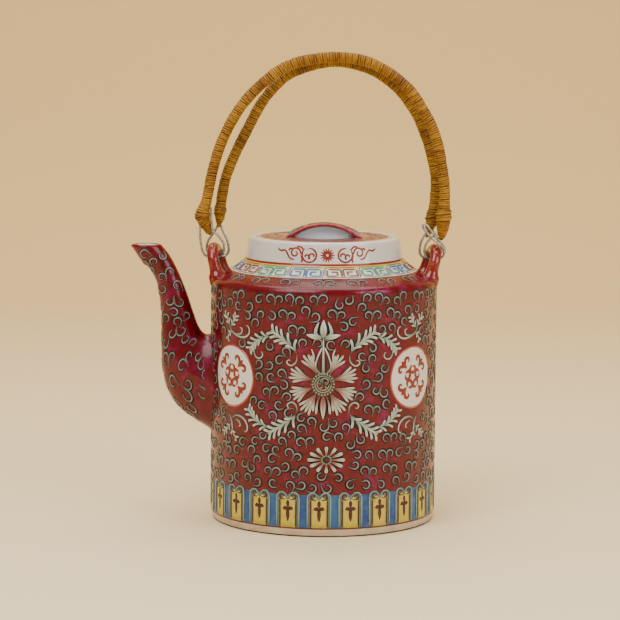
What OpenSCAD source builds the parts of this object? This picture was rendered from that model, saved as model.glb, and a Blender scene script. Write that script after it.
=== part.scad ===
// Straight-sided porcelain teapot with an inset lid and two swinging, cane-wrapped bails.
// Millimetres. +Z is up, the front is -Y and the spout is at -X.
// The origin is the middle of the foot ring, on the surface that the pot stands on.

/* [Pot body] */
// Outside diameter of the straight wall
body_d = 120; // [100:1:150]
// Height at which the shoulder's outer edge ends
body_h = 130; // [105:1:165]
// Thickness of the wall and the shoulder
wall_t = 4.5; // [3:0.5:6]
// Thickness of the floor
floor_t = 5; // [3:0.5:8]
// Height of the hollow under the foot
foot_h = 3.5; // [2:0.5:6]
// Width of the foot ring that touches the table
foot_w = 4.6; // [3:0.2:8]
// Radius of the rounded shoulder edge
edge_r = 4; // [2:0.5:6]
// Rise of the sloping shoulder from its edge to the collar
shoulder_rise = 9.5; // [6:0.5:16]

/* [Collar and lid] */
// Thickness of the collar at its base, outside the lid's recess
collar_t = 6.1; // [5:0.1:8]
// Height of the collar
collar_h = 11.5; // [9:0.5:18]
// Diameter of the lid plate
lid_d = 70.6; // [56:0.2:74]
// Gap between the lid plate and the collar
lid_gap = 0.6; // [0.3:0.1:1.2]
// Thickness of the lid plate at its edge
lid_t = 4.4; // [3:0.2:6]
// Width of the ledge that the lid rests on
ledge_w = 4; // [2.5:0.5:6]
// Depth of the flange under the lid plate
flange_h = 12; // [6:0.5:16]
// Thickness of the flange
flange_t = 2.8; // [2:0.2:4]
// Radius of the sunken well in the lid
well_r = 15.5; // [12:0.5:18]
// Depth of the well below the lid's top
well_depth = 6; // [4:0.5:8]
// Diameter of the steam hole
steam_d = 2.4; // [1.5:0.1:4]

/* [Lid bridge] */
// Length of the strap over the well
bridge_l = 42; // [36:1:46]
// Rise of the strap above the lid's top
bridge_rise = 7.2; // [5:0.2:12]
// Width of the strap at its middle
bridge_w = 11; // [8:0.5:14]
// Thickness of the strap at its middle
bridge_t = 1.9; // [1.4:0.1:3]
// Thickness of the web that carries the strap
web_t = 3; // [2:0.2:5]

/* [Spout] */
// Reach of the spout's tip beyond the wall
spout_reach = 43.5; // [34:0.5:54]
// Thickness of the spout's wall
spout_t = 2.5; // [1.8:0.1:3.5]
// Height of the mouth below the collar's top
mouth_drop = 5; // [2:0.5:12]
// Diameter of each strainer hole
strainer_d = 4.4; // [3:0.2:5.5]
// Distance between strainer holes
strainer_pitch = 7.4; // [6:0.2:9]

/* [Lugs] */
// Diameter of the lug's round section
lug_tube_d = 6.1; // [5:0.1:7]
// Radius of the lug's arch, at the middle of its section
lug_arch_r = 8.2; // [8:0.1:10]
// Distance of the arch's centre inside the wall
lug_inset = 3.2; // [2:0.2:6]
// Height of the arch's centre above the shoulder's edge
lug_lift = 6; // [5:0.2:9]
// Outward lean of the arch, in degrees
lug_lean = 15; // [0:1:18]
// Turn of the arch in plan, front foot outwards, in degrees
lug_turn = 10; // [0:1:12]
// Place of the lugs behind the middle plane
lug_back = 2; // [-4:0.5:6]

/* [Bails] */
// Height of the front bail's middle line above the hinge line
bail_rise = 109.6; // [90:1:130]
// Height at which the winding starts above the hinge line
bail_foot = 27.4; // [26:0.2:34]
// Distance of each bail's plane from the hinge line
bail_offset = 4; // [3.6:0.1:6]
// Diameter over the cane winding
wrap_d = 6; // [5:0.2:7.5]
// Diameter of the cane rod inside
core_d = 3.8; // [3:0.2:4.2]
// Gap between the rod and the winding
wrap_gap = 0.1; // [0.05:0.05:0.3]
// Diameter of the wire of the eyes
wire_d = 1.3; // [1:0.1:1.6]
// Gap between an eye and the lug, all the way round the swing
eye_gap = 0.35; // [0.2:0.05:0.6]
// How far the front bail folds forwards, in degrees
front_fold = 82; // [60:1:84]
// How far the rear bail folds backwards, in degrees
rear_fold = 72; // [50:1:74]

/* [Hidden] */

body_r = body_d / 2;
inner_r = body_r - wall_t;
neck_z = body_h + shoulder_rise;          // base of the collar
rim_z = neck_z + collar_h;                // top of the collar
gallery_r = lid_d / 2 + lid_gap;          // recess that holds the lid plate
collar_r = gallery_r + collar_t;
bore_r = gallery_r - ledge_w;             // throat of the collar
ledge_z = rim_z - lid_t - 0.2;
lid_top_z = ledge_z + lid_t;
well_r_ball = (well_r * well_r + well_depth * well_depth) / (2 * well_depth);
axis_z = body_h + lug_lift;               // hinge line of both bails
lug_x = body_r - lug_inset;
mouth_z = rim_z - mouth_drop;
foot_in_r = body_r - 1.8 - foot_w;        // inner edge of the foot ring
rim_round = 1.6;
lip_round = 0.9;
corner_r = 6;                             // fillet between floor and wall
wire_sides = 8;
wrap_sides = 10;

// ---- curves ---------------------------------------------------------------
// Points on an arc from angle a0 to a1 about [cx, cy]
function arc(cx, cy, r, a0, a1, n = 6) =
    [for (i = [0 : n]) let (a = a0 + (a1 - a0) * i / n) [cx + r * cos(a), cy + r * sin(a)]];

// A smooth (Catmull-Rom) curve through the points, with k steps from each to the next
function blend4(a, b, c, d, t) =
    0.5 * (2 * b + (c - a) * t + (2 * a - 5 * b + 4 * c - d) * t * t
           + (3 * b - a - 3 * c + d) * t * t * t);
function smooth(p, k) = let (n = len(p) - 1) concat(
    [for (i = [0 : n - 1], j = [0 : k - 1])
        blend4(i == 0 ? 2 * p[0] - p[1] : p[i - 1], p[i], p[i + 1],
               i == n - 1 ? 2 * p[n] - p[n - 1] : p[i + 2], j / k)],
    [p[n]]);

// Unit tangent at point i of a path
function along(p, i) =
    let (v = p[min(i + 1, len(p) - 1)] - p[max(i - 1, 0)]) v / norm(v);
// A ring of points of radius r round point i, starting from the Y side
function ring(p, i, r, sides) =
    let (t = along(p, i), y = [0, 1, 0] - t[1] * t, n = y / norm(y), b = cross(t, n))
    [for (j = [0 : sides - 1]) p[i] + r * (cos(360 * j / sides) * n + sin(360 * j / sides) * b)];
// Side faces between rings that start at point number base; flip turns them inside out
function sides_of(rings, sides, base = 0, flip = false) =
    [for (i = [0 : rings - 2], j = [0 : sides - 1])
        let (a = base + i * sides + j, b = base + i * sides + (j + 1) % sides)
        flip ? [a, b, b + sides, a + sides] : [a, a + sides, b + sides, b]];

// A solid rod along a path
module rod_along(p, r, sides) {
    n = len(p);
    polyhedron(
        points = [for (i = [0 : n - 1]) each ring(p, i, r, sides)],
        faces = concat(sides_of(n, sides),
                       [[for (j = [0 : sides - 1]) j]],
                       [[for (j = [sides - 1 : -1 : 0]) (n - 1) * sides + j]]));
}

// A tube along a path, open at both ends
module tube_along(p, r_out, r_in, sides) {
    n = len(p);
    inner = n * sides;
    last = (n - 1) * sides;
    polyhedron(
        points = concat([for (i = [0 : n - 1]) each ring(p, i, r_out, sides)],
                        [for (i = [0 : n - 1]) each ring(p, i, r_in, sides)]),
        faces = concat(
            sides_of(n, sides), sides_of(n, sides, inner, true),
            [for (j = [0 : sides - 1]) let (k = (j + 1) % sides) [j, k, inner + k, inner + j]],
            [for (j = [0 : sides - 1]) let (k = (j + 1) % sides)
                [last + k, last + j, inner + last + j, inner + last + k]]));
}

// ---- pot body -------------------------------------------------------------
slope_run = body_r - edge_r - collar_r;
slope_mid = [collar_r + 0.48 * slope_run, neck_z - 0.6 * shoulder_rise];
edge_turn = 64;                           // angle at which the rounded edge meets the slope
function outer_line() = concat(
    [[body_r - 1.8, 0]],
    arc(body_r - 1.8, 0.8, 0.8, -90, 0, 3),
    [[body_r, foot_h + 1.5]],
    arc(body_r - edge_r, body_h - edge_r, edge_r, 0, edge_turn, 6),
    [slope_mid, [collar_r, neck_z]],
    arc(collar_r - 1.4 - rim_round, rim_z - rim_round, rim_round, 0, 90, 5));
function gallery_line() = concat(
    arc(gallery_r + lip_round, rim_z - lip_round, lip_round, 90, 180, 4),
    [[gallery_r, ledge_z], [bore_r, ledge_z], [bore_r, ledge_z - 3.4],
     [gallery_r + 0.8, neck_z - 0.3]]);
function inside_line() = concat(
    [slope_mid - wall_t * [0.5, 0.87]],
    arc(inner_r - edge_r, body_h - wall_t - edge_r, edge_r, edge_turn, 0, 4),
    arc(inner_r - corner_r, foot_h + floor_t + corner_r, corner_r, 0, -90, 5),
    [[0, foot_h + floor_t]]);
function under_line() =
    [[0, foot_h], [foot_in_r - 1.2, foot_h], [foot_in_r, 0]];

// Solid out to the pot's outside, for trimming what stands on it
module pot_envelope() rotate_extrude($fn = 96) polygon(concat([[0, 0]], outer_line(), [[0, rim_z]]));

// One hole in the middle and six round it, drilled through the wall inside the spout
module strainer_holes()
    for (at = concat([[0, 0]], [for (k = [0 : 5]) strainer_pitch * [sin(60 * k), cos(60 * k)]]))
        translate([0, at[0], spout_root_z + at[1]]) rotate([0, -90, 0])
            cylinder(d = strainer_d, h = body_r + 1, $fn = 24);

module pot_body() color("firebrick") difference() {
    rotate_extrude($fn = 96)
        polygon(concat(outer_line(), gallery_line(), inside_line(), under_line()));
    strainer_holes();
}

// ---- spout ----------------------------------------------------------------
// Stations from root to tip: [reach as a share, height as a share, heading from level,
// half height of the section, half width of the section]
spout_stations = [
    [-0.20, 0.480, 0, 25.5, 14.6],
    [0.02, 0.500, 6, 24.2, 14.0],
    [0.245, 0.545, 28, 20.0, 12.6],
    [0.35, 0.605, 46, 14.9, 11.0],
    [0.39, 0.670, 62, 11.0, 9.4],
    [0.415, 0.738, 80, 8.7, 8.0],
    [0.465, 0.808, 78, 7.5, 7.0],
    [0.535, 0.877, 66, 6.5, 6.3],
    [0.63, 0.932, 56, 6.5, 6.2],
    [0.73, 0.966, 51, 6.9, 6.5],
    [0.905, 1.040, 54, 6.7, 6.6]];
spout_root_z = 0.5 * mouth_z;
spout_curve = smooth(spout_stations, 3);

module spout_loft(thinner, sides) {
    n = len(spout_curve);
    polyhedron(
        points = [for (s = spout_curve, j = [0 : sides - 1])
            let (a = 360 * j / sides, h = (s[3] - thinner) * cos(a), w = (s[4] - thinner) * sin(a))
            [-body_r - s[0] * spout_reach + h * sin(s[2]), w, s[1] * mouth_z + h * cos(s[2])]],
        faces = concat(sides_of(n, sides),
                       [[for (j = [0 : sides - 1]) j]],
                       [[for (j = [sides - 1 : -1 : 0]) (n - 1) * sides + j]]));
}

module spout() color("firebrick") difference() {
    spout_loft(0, 24);
    spout_loft(spout_t, 20);
    cylinder(r = body_r, h = body_h, $fn = 96);
    translate([-body_r - 2 * spout_reach, -body_r, mouth_z]) cube([2 * body_r, body_d, body_r]);
}

// ---- lugs -----------------------------------------------------------------
// side is -1 at the spout and 1 opposite
module lug(side) {
    leg = lug_lift + 8;
    mirror([side < 0 ? 1 : 0, 0, 0]) difference() {
        translate([lug_x, lug_back, axis_z])
            rotate([0, 0, lug_turn - 90]) rotate([90 - lug_lean, 0, 0]) {
                rotate_extrude(angle = 180, $fn = 48)
                    translate([lug_arch_r, 0]) circle(d = lug_tube_d, $fn = 32);
                for (end = [-1, 1])
                    translate([end * lug_arch_r, 0, 0]) rotate([90, 0, 0])
                        cylinder(d1 = lug_tube_d, d2 = lug_tube_d + 1.2, h = leg, $fn = 32);
            }
        pot_envelope();
    }
}
module left_lug() color("crimson") lug(-1);
module right_lug() color("crimson") lug(1);

// ---- lid ------------------------------------------------------------------
module lid_plate() {
    edge = lid_d / 2;
    flange_r = bore_r - lid_gap;
    under_well = lid_top_z - well_depth - lid_t + 0.6;
    color("indianred") difference() {
        rotate_extrude($fn = 96) polygon(concat(
            [[0, under_well], [well_r - 3, under_well], [well_r + 3, ledge_z],
             [flange_r - flange_t, ledge_z], [flange_r - flange_t, ledge_z - flange_h]],
            arc(flange_r - 1, ledge_z - flange_h + 1, 1, -90, 0, 3),
            [[flange_r, ledge_z], [edge, ledge_z]],
            arc(edge - 1, lid_top_z - 1, 1, 0, 90, 4),
            [[0, lid_top_z]]));
        translate([0, 0, lid_top_z - well_depth + well_r_ball]) sphere(r = well_r_ball, $fn = 96);
        translate([0, (well_r + flange_r - flange_t) / 2, ledge_z - 1])
            cylinder(d = steam_d, h = lid_t + 2, $fn = 24);
    }
}

// A strap arched over the well on a thin upright web, with a finger space before and behind
module lid_bridge() {
    half = bridge_l / 2;
    outer_r = (half * half + bridge_rise * bridge_rise) / (2 * bridge_rise);
    gap_rise = bridge_rise - bridge_t;
    gap_half = well_r;
    gap_r = (gap_half * gap_half + gap_rise * gap_rise) / (2 * gap_rise);
    waist_r = 51;
    color("indianred") {
        difference() {
            translate([0, bridge_w, lid_top_z]) rotate([90, 0, 0]) linear_extrude(2 * bridge_w)
                difference() {
                    translate([0, bridge_rise - outer_r]) circle(r = outer_r, $fn = 128);
                    translate([0, gap_rise - gap_r]) circle(r = gap_r, $fn = 128);
                    translate([-outer_r, -2 * outer_r]) square(2 * outer_r);
                }
            for (side = [-1, 1])
                translate([0, side * (bridge_w / 2 + waist_r), lid_top_z - 1])
                    cylinder(r = waist_r, h = bridge_rise + 2, $fn = 128);
        }
        intersection() {
            translate([0, web_t / 2, lid_top_z]) rotate([90, 0, 0]) linear_extrude(web_t)
                translate([0, gap_rise - gap_r]) circle(r = gap_r, $fn = 128);
            translate([0, 0, lid_top_z - well_depth + well_r_ball])
                sphere(r = well_r_ball, $fn = 96);
        }
    }
}

// ---- bails ----------------------------------------------------------------
// Middle lines as [share of the lug distance, share of the rise from foot to top]
front_line = [[-1.14, 0], [-1.10, 0.08], [-1.045, 0.27], [-0.955, 0.465], [-0.80, 0.665],
    [-0.59, 0.827], [-0.33, 0.95], [0.04, 1.0], [0.41, 0.97], [0.74, 0.827], [0.93, 0.647],
    [1.04, 0.48], [1.10, 0.28], [1.125, 0.12], [1.115, 0]];
rear_line = [[-0.985, -0.02], [-0.965, 0.09], [-0.925, 0.225], [-0.84, 0.373], [-0.72, 0.54],
    [-0.57, 0.727], [-0.34, 0.887], [0.0, 0.965], [0.23, 0.96], [0.45, 0.913], [0.66, 0.813],
    [0.83, 0.667], [0.94, 0.507], [1.015, 0.333], [1.045, 0.2], [1.035, 0.067], [1.01, -0.033]];
function bail_path(line, face, k) =
    smooth([for (p = line) [p[0] * lug_x, lug_back + face * bail_offset,
                            axis_z + bail_foot + p[1] * (bail_rise - bail_foot)]], k);
// face is -1 for the front bail and 1 for the rear one
front_path = bail_path(front_line, -1, 3);
rear_path = bail_path(rear_line, 1, 3);

module core(path) color("peru") rod_along(path, core_d / 2, 8);
module wrap(path) color("goldenrod") tube_along(path, wrap_d / 2, core_d / 2 + wrap_gap, wrap_sides);
module front_core() core(front_path);
module front_wrap() wrap(front_path);
module rear_core() core(rear_path);
module rear_wrap() wrap(rear_path);

// An eye clears the lug's section wherever the swing takes it: as a bail folds, the section
// under its eye moves round the arch, and sideways with the arch's lean and turn
grip = (lug_tube_d + wire_d) / 2 + eye_gap;
eye_plane = 2.4;                          // distance of each eye from the hinge plane
eye_low = sqrt(pow(lug_arch_r * cos(lug_lean) - grip, 2) - pow(eye_plane, 2));
eye_start = asin(eye_plane / lug_arch_r);
function drift(a) = lug_arch_r * (sin(lug_turn) * sin(a) + sin(lug_lean) * cos(a));
front_in = drift(eye_start + front_fold + 8) - grip;
front_out = drift(atan(sin(lug_turn) / sin(lug_lean))) + grip;
rear_in = drift(-eye_start - rear_fold - 8) - grip;
rear_out = drift(-eye_start) + grip;

// Wire eyes as [outwards from the lug, away from the hinge plane, up from the hinge line]
front_left_wire = [[7.6, 4, 25], [9.2, 3.6, 19], [8.9, 2.9, 11], [front_out + 1.4, 2.5, 6.3],
    [front_out - 0.5, eye_plane, eye_low + 0.7], [3.5, eye_plane, eye_low],
    [0, eye_plane, eye_low], [front_in + 1.2, eye_plane, eye_low + 1],
    [front_in - 0.1, 2.5, 7], [front_in + 0.1, 2.7, 10.8], [-0.6, 3.2, 14.6],
    [2.2, 4.4, 17.5], [3.1, 5, 22], [3.4, 5, 29.5]];
front_right_wire = [[6.2, 4, 21], [4.6, 3.9, 17.4], [0.6, 3.2, 14.8],
    [front_in + 0.8, 2.7, 11.2], [front_in - 0.1, 2.5, 7],
    [front_in + 1.2, eye_plane, eye_low + 1], [0, eye_plane, eye_low],
    [3.5, eye_plane, eye_low], [front_out - 0.6, eye_plane, eye_low + 0.9],
    [front_out + 0.6, 2.5, 6.4], [front_out + 0.2, 2.7, 9.5], [3.4, 4.2, 14],
    [0.4, 5.4, 17.8], [-2.4, 6, 21.3], [-3.9, 6.2, 22], [-4.3, 6.3, 20.2], [-0.6, 6.1, 15.4],
    [3.6, 5.2, 12], [6.2, 4.4, 9.4], [front_out + 0.6, 4.2, 6.4]];
rear_wire = [[-0.6, 4, 23], [-2.4, 3.4, 17], [rear_in + 0.8, 2.6, 12],
    [rear_in - 0.1, 2.5, 7], [rear_in + 1, eye_plane, eye_low + 1.1],
    [-2.2, eye_plane, eye_low], [2, eye_plane, eye_low],
    [rear_out - 1, eye_plane, eye_low + 1.1], [rear_out + 0.3, 2.5, 7],
    [rear_out - 0.5, 2.6, 11.5], [2.2, 3.2, 15.8], [0.2, 3.8, 19.6], [0.3, 4, 23]];
function at_lug(p, side, face) =
    [side * (lug_x + p[0]), lug_back + face * p[1], axis_z + p[2]];
module eye(points, side, face)
    color("silver") rod_along(smooth([for (p = points) at_lug(p, side, face)], 2),
                              wire_d / 2, wire_sides);
module front_left_eye() eye(front_left_wire, -1, -1);
module front_right_eye() eye(front_right_wire, 1, -1);
module rear_left_eye() eye(rear_wire, -1, 1);
module rear_right_eye() eye(rear_wire, 1, 1);

// A knot of cane over the end of the winding: a large and a small ball with the cane drawn
// round both, bored for the end of the wrapped rod. swell is how far the large ball stands
// out past the winding.
module binding(path, end, side, face, swell, tail, tail_r) {
    foot = path[end];
    big_r = wrap_d / 2 + swell;
    heading = (end == 0 ? 1 : -1) * along(path, end);
    color("darkgoldenrod") difference() {
        hull() {
            translate(foot + [0, 0, 1 - big_r]) sphere(r = big_r, $fn = 24);
            translate(at_lug(tail, side, face)) sphere(r = tail_r, $fn = 20);
        }
        translate(foot) rotate([0, atan2(heading[0], heading[2]), 0])
            cylinder(r = wrap_d / 2 + wrap_gap, h = 2 * big_r, $fn = 32);
    }
}
module front_left_binding() binding(front_path, 0, -1, -1, 1.5, [4.8, 4, 17.4], 2.4);
module front_right_binding()
    binding(front_path, len(front_path) - 1, 1, -1, 1.5, [5.8, 4, 16.4], 2.9);
module rear_left_binding() binding(rear_path, 0, -1, 1, 0.7, [-0.4, 4, 19.8], 1.6);
module rear_right_binding()
    binding(rear_path, len(rear_path) - 1, 1, 1, 0.8, [-1.4, 4, 15.6], 1.8);

pot_body();
spout();
left_lug();
right_lug();
lid_plate();
lid_bridge();
front_core();
front_wrap();
front_left_eye();
front_right_eye();
front_left_binding();
front_right_binding();
rear_core();
rear_wrap();
rear_left_eye();
rear_right_eye();
rear_left_binding();
rear_right_binding();
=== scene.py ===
import math
import bmesh
import bpy
import numpy as np
from mathutils import Matrix, Quaternion, Vector


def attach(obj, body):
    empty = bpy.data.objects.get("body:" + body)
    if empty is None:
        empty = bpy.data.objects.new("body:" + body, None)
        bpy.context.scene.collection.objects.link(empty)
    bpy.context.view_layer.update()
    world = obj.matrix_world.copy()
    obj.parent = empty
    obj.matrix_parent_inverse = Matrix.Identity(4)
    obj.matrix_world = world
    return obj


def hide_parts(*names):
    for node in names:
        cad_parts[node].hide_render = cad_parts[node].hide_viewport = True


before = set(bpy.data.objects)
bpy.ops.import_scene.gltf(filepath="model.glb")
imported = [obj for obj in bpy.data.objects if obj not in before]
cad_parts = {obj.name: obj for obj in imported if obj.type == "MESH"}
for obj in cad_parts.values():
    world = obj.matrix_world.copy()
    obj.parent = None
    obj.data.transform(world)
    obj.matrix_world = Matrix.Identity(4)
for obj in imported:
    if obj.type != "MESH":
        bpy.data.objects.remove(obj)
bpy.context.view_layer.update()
mm = 0.001
joinGap = 0.0002 * mm                                        # points closer than this are one point
holeSides = 24
fullTurn = 2 * math.pi
print("frame loaded")



def putInScene(made):
    bpy.context.scene.collection.objects.link(made)


# Places and sizes in metres, angles in degrees, lens in mm, power in watts
camera = {"place": (0, -1.3546, 0.27464), "pitch": -6.88, "roll": 0.42, "lens": 148.3, "shiftX": -0.0221}
studio = {
    "key": {"place": (-0.6, -0.9, 1.35), "aim": (0, 0, 0.1), "size": 1.0, "power": 20.0,
            "tint": (1.0, 0.97, 0.93)},
    "fill": {"place": (1.2, -0.9, 0.75), "aim": (0, 0, 0.1), "size": 0.9, "power": 12.0,
             "tint": (1.0, 0.97, 0.94)},
    "top": {"place": (0.0, 0.35, 1.9), "aim": (0, 0.3, 0.0), "size": 1.8, "power": 44.0,
            "tint": (1.0, 0.95, 0.87)},
}
air = {"tint": (1.0, 0.95, 0.88, 1), "strength": 0.34}
view = bpy.data.cameras.new("camera")
view.sensor_width, view.lens, view.shift_x = 36.0, camera["lens"], camera["shiftX"]
view.clip_start, view.clip_end = 0.05, 20.0
viewer = bpy.data.objects.new("camera", view)
viewer.location = camera["place"]
viewer.rotation_mode = "QUATERNION"
pitched = Quaternion((1, 0, 0), math.radians(90 + camera["pitch"]))
viewer.rotation_quaternion = pitched @ Quaternion((0, 0, 1), math.radians(camera["roll"]))
putInScene(viewer)
bpy.context.scene.camera = viewer

for lampName, lamp in studio.items():
    light = bpy.data.lights.new(lampName, "AREA")
    light.shape, light.size, light.energy, light.color = "SQUARE", lamp["size"], lamp["power"], lamp["tint"]
    shine = bpy.data.objects.new(lampName, light)
    shine.location = lamp["place"]
    shine.rotation_mode = "QUATERNION"
    shine.rotation_quaternion = (Vector(lamp["aim"]) - Vector(lamp["place"])).to_track_quat("-Z", "Y")
    putInScene(shine)
world = bpy.data.worlds.new("studioAir")
world.use_nodes = True
world.node_tree.nodes["Background"].inputs["Color"].default_value = air["tint"]
world.node_tree.nodes["Background"].inputs["Strength"].default_value = air["strength"]
bpy.context.scene.world = world
print("camera and lights placed")


# Four-sided faces of a grid of points: each face joins a point, its neighbour and the two after them
def gridFaces(rows, cols, wrapCols=False, wrapRows=False):
    i = np.arange(rows if wrapRows else rows - 1)[:, None]
    j = np.arange(cols if wrapCols else cols - 1)[None, :]
    down, right = (i + 1) % rows, (j + 1) % cols
    return np.stack([i * cols + j, i * cols + right, down * cols + right, down * cols + j], -1).reshape(-1, 4)


# Whether the faces point inwards: then the triple products of their triangles sum to less than nothing
def insideOut(points, faces):
    a, b, c, d = (points[faces[:, k]] for k in range(4))
    return (np.einsum("ij,ij->", a, np.cross(b, c)) + np.einsum("ij,ij->", a, np.cross(c, d))) < 0


# A piece from points in millimetres; points that fall together, as at a pole, are joined
def addPiece(name, points, faces, finishes, body, stands=(), faceFinish=None, fields=None):
    points = np.asarray(points, float).reshape(-1, 3)
    if insideOut(points, faces):
        faces = faces[:, ::-1]
    mesh = bpy.data.meshes.new(name)
    mesh.from_pydata(points * mm, [], faces)
    mesh.polygons.foreach_set("use_smooth", np.ones(len(faces), bool))
    if faceFinish is not None:
        mesh.polygons.foreach_set("material_index", np.asarray(faceFinish, np.int32))
    for fieldName, values in (fields or {}).items():
        layer = mesh.attributes.new(fieldName, "FLOAT", "POINT")
        layer.data.foreach_set("value", np.asarray(values, np.float32).ravel())
    joined = bmesh.new()
    joined.from_mesh(mesh)
    bmesh.ops.remove_doubles(joined, verts=joined.verts, dist=joinGap)
    joined.to_mesh(mesh)
    joined.free()
    mesh.update()
    for finish in finishes if isinstance(finishes, (list, tuple)) else [finishes]:
        mesh.materials.append(finish)
    piece = bpy.data.objects.new(name, mesh)
    putInScene(piece)
    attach(piece, body)
    if stands:
        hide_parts(*stands)
    print("piece", name, len(mesh.polygons), "faces")
    return piece


# Round holes cut through a piece, each a straight rod from one place to another, in mm
def pierce(piece, holes, radius):
    drills = bmesh.new()
    for start, end in holes:
        start, end = Vector(start) * mm, Vector(end) * mm
        heading = (end - start).to_track_quat("Z", "Y").to_matrix().to_4x4()
        bmesh.ops.create_cone(drills, cap_ends=True, segments=holeSides, radius1=radius * mm, radius2=radius
                              * mm,
                              depth=(end - start).length, matrix=Matrix.Translation((start + end) / 2)
                              @ heading)
    drillMesh = bpy.data.meshes.new("drills")
    drills.to_mesh(drillMesh)
    drills.free()
    drill = bpy.data.objects.new("drills", drillMesh)
    putInScene(drill)
    cut = piece.modifiers.new("holes", "BOOLEAN")
    cut.object, cut.operation, cut.solver = drill, "DIFFERENCE", "EXACT"
    done = bpy.data.meshes.new_from_object(piece.evaluated_get(bpy.context.evaluated_depsgraph_get()))
    piece.modifiers.clear()
    piece.data = done
    bpy.data.objects.remove(drill)
    print("pierced", piece.name, len(done.polygons), "faces")


# A smooth line through the points: each stretch is the cubic of its four nearest points
def smoothLine(points, steps):
    p = np.asarray(points, float)
    p = np.vstack([2 * p[0] - p[1], p, 2 * p[-1] - p[-2]])
    t = (np.arange(steps) / steps)[None, :, None]
    a, b, c, d = p[:-3, None], p[1:-2, None], p[2:-1, None], p[3:, None]
    line = 0.5 * (2 * b + (c - a) * t + (2 * a - 5 * b + 4 * c - d) * t**2 + (3 * b - a - 3 * c + d) * t**3)
    return np.vstack([line.reshape(-1, p.shape[1]), p[-2:-1]])


# The same line at equal steps of its length
def evenLine(line, count):
    far = np.r_[0, np.cumsum(np.linalg.norm(np.diff(line, axis=0), axis=1))]
    at = np.linspace(0, far[-1], count)
    return np.stack([np.interp(at, far, line[:, k]) for k in range(line.shape[1])], 1)


# Points of a round-off from angle a0 to a1, in degrees
def arcLine(cx, cy, r, a0, a1, count=8):
    a = np.radians(np.linspace(a0, a1, count))
    return np.stack([cx + r * np.cos(a), cy + r * np.sin(a)], 1)


# A turned shape: each profile point (radius, height) swept right round the pot's own axis
def turned(profile, sides):
    a = np.arange(sides) / sides * fullTurn
    r, z = profile[:, 0, None], profile[:, 1, None]
    return np.stack([r * np.sin(a), -r * np.cos(a), z + 0 * a], -1)


# Two directions square to a line, the first as near to the given one as it can be
def sideWays(line, towards):
    along = np.gradient(line, axis=0)
    along /= np.linalg.norm(along, axis=1, keepdims=True)
    first = np.asarray(towards, float) - (along @ np.asarray(towards, float))[:, None] * along
    first /= np.linalg.norm(first, axis=1, keepdims=True)
    return along, first, np.cross(along, first)


# A rod: circles of the given radius carried along a line, closed to a point past both ends
def rodShape(line, radius, sides, towards=(0, 1, 0)):
    radius = np.broadcast_to(radius, len(line)).astype(float)
    quarter = np.linspace(0, math.pi / 2, 5)[:-1]
    cap, bulge = np.sin(quarter), np.cos(quarter)
    start, end = line[0] - line[1], line[-1] - line[-2]
    start, end = start / np.linalg.norm(start), end / np.linalg.norm(end)
    line = np.vstack([line[0] + start * radius[0] * bulge[:, None], line,
                      (line[-1] + end * radius[-1] * bulge[:, None])[::-1]])
    radius = np.r_[radius[0] * cap, radius, (radius[-1] * cap)[::-1]]
    along, first, second = sideWays(line, towards)
    a = np.arange(sides) / sides * fullTurn
    ring = np.cos(a)[None, :, None] * first[:, None] + np.sin(a)[None, :, None] * second[:, None]
    return line[:, None] + radius[:, None, None] * ring


# A socket takes a link from another node, or a plain value
def setSocket(tree, socket, value):
    if isinstance(value, bpy.types.NodeSocket):
        tree.links.new(value, socket)
    else:
        socket.default_value = value


def setSockets(tree, made, values):
    for key, value in values.items():
        setSocket(tree, made.inputs[key], value)


def addNode(tree, kind, inputs=None, **settings):
    made = tree.nodes.new("ShaderNode" + kind)
    for key, value in settings.items():
        setattr(made, key, value)
    setSockets(tree, made, inputs or {})
    return made


def addRamp(tree, share, stops, mode="LINEAR"):
    made = addNode(tree, "ValToRGB", {"Fac": share})
    ramp = made.color_ramp
    ramp.interpolation = mode
    while len(ramp.elements) < len(stops):
        ramp.elements.new(0.5)
    for element, (place, colour) in zip(ramp.elements, stops):
        element.position = place
        element.color = (*colour, 1)
    return made.outputs["Color"]


# Sockets 0, 6 and 7 of a Mix node are its share and its two colours
def addMix(tree, share, one, two, blend="MIX"):
    one, two = ((*value, 1) if isinstance(value, tuple) else value for value in (one, two))
    return addNode(tree, "Mix", {0: share, 6: one, 7: two}, data_type="RGBA", blend_type=blend).outputs[2]


def addMath(tree, operation, *values):
    return addNode(tree, "Math", dict(enumerate(values)), operation=operation).outputs[0]


def addBump(tree, shader, strength, distance, height):
    bump = addNode(tree, "Bump", {"Strength": strength, "Distance": distance, "Height": height})
    tree.links.new(bump.outputs["Normal"], shader.inputs["Normal"])


def newMaterial(name):
    made = bpy.data.materials.new(name)
    made.use_nodes = True
    return made, made.node_tree, made.node_tree.nodes["Principled BSDF"]


def field(tree, name):
    return addNode(tree, "Attribute", attribute_name=name).outputs["Fac"]


def clouds(tree, scale, detail=3.0, rough=0.5, twist=0.0):
    where = addNode(tree, "TexCoord").outputs["Object"]
    made = addNode(tree, "TexNoise", {"Vector": where, "Scale": scale, "Detail": detail, "Roughness": rough,
                                      "Distortion": twist})
    return made.outputs["Fac"]


# A fired glaze: a colour, a hard clear coat, a faint ripple and pits in the surface
def glaze(name, paint, rough=0.24, coat=0.25, ripple=0.12, rippleScale=260.0):
    made, tree, shader = newMaterial(name)
    uneven = addRamp(tree, clouds(tree, 90.0), [(0.3, (rough * 0.8,) * 3), (0.7, (rough * 1.3,) * 3)])
    setSockets(tree, shader, {"Base Color": paint(tree), "Roughness": uneven, "Specular IOR Level": 0.3,
                              "Coat Weight": coat, "Coat Roughness": 0.06})
    addBump(tree, shader, ripple, 0.0006, clouds(tree, rippleScale, 2.0))
    return made


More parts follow.
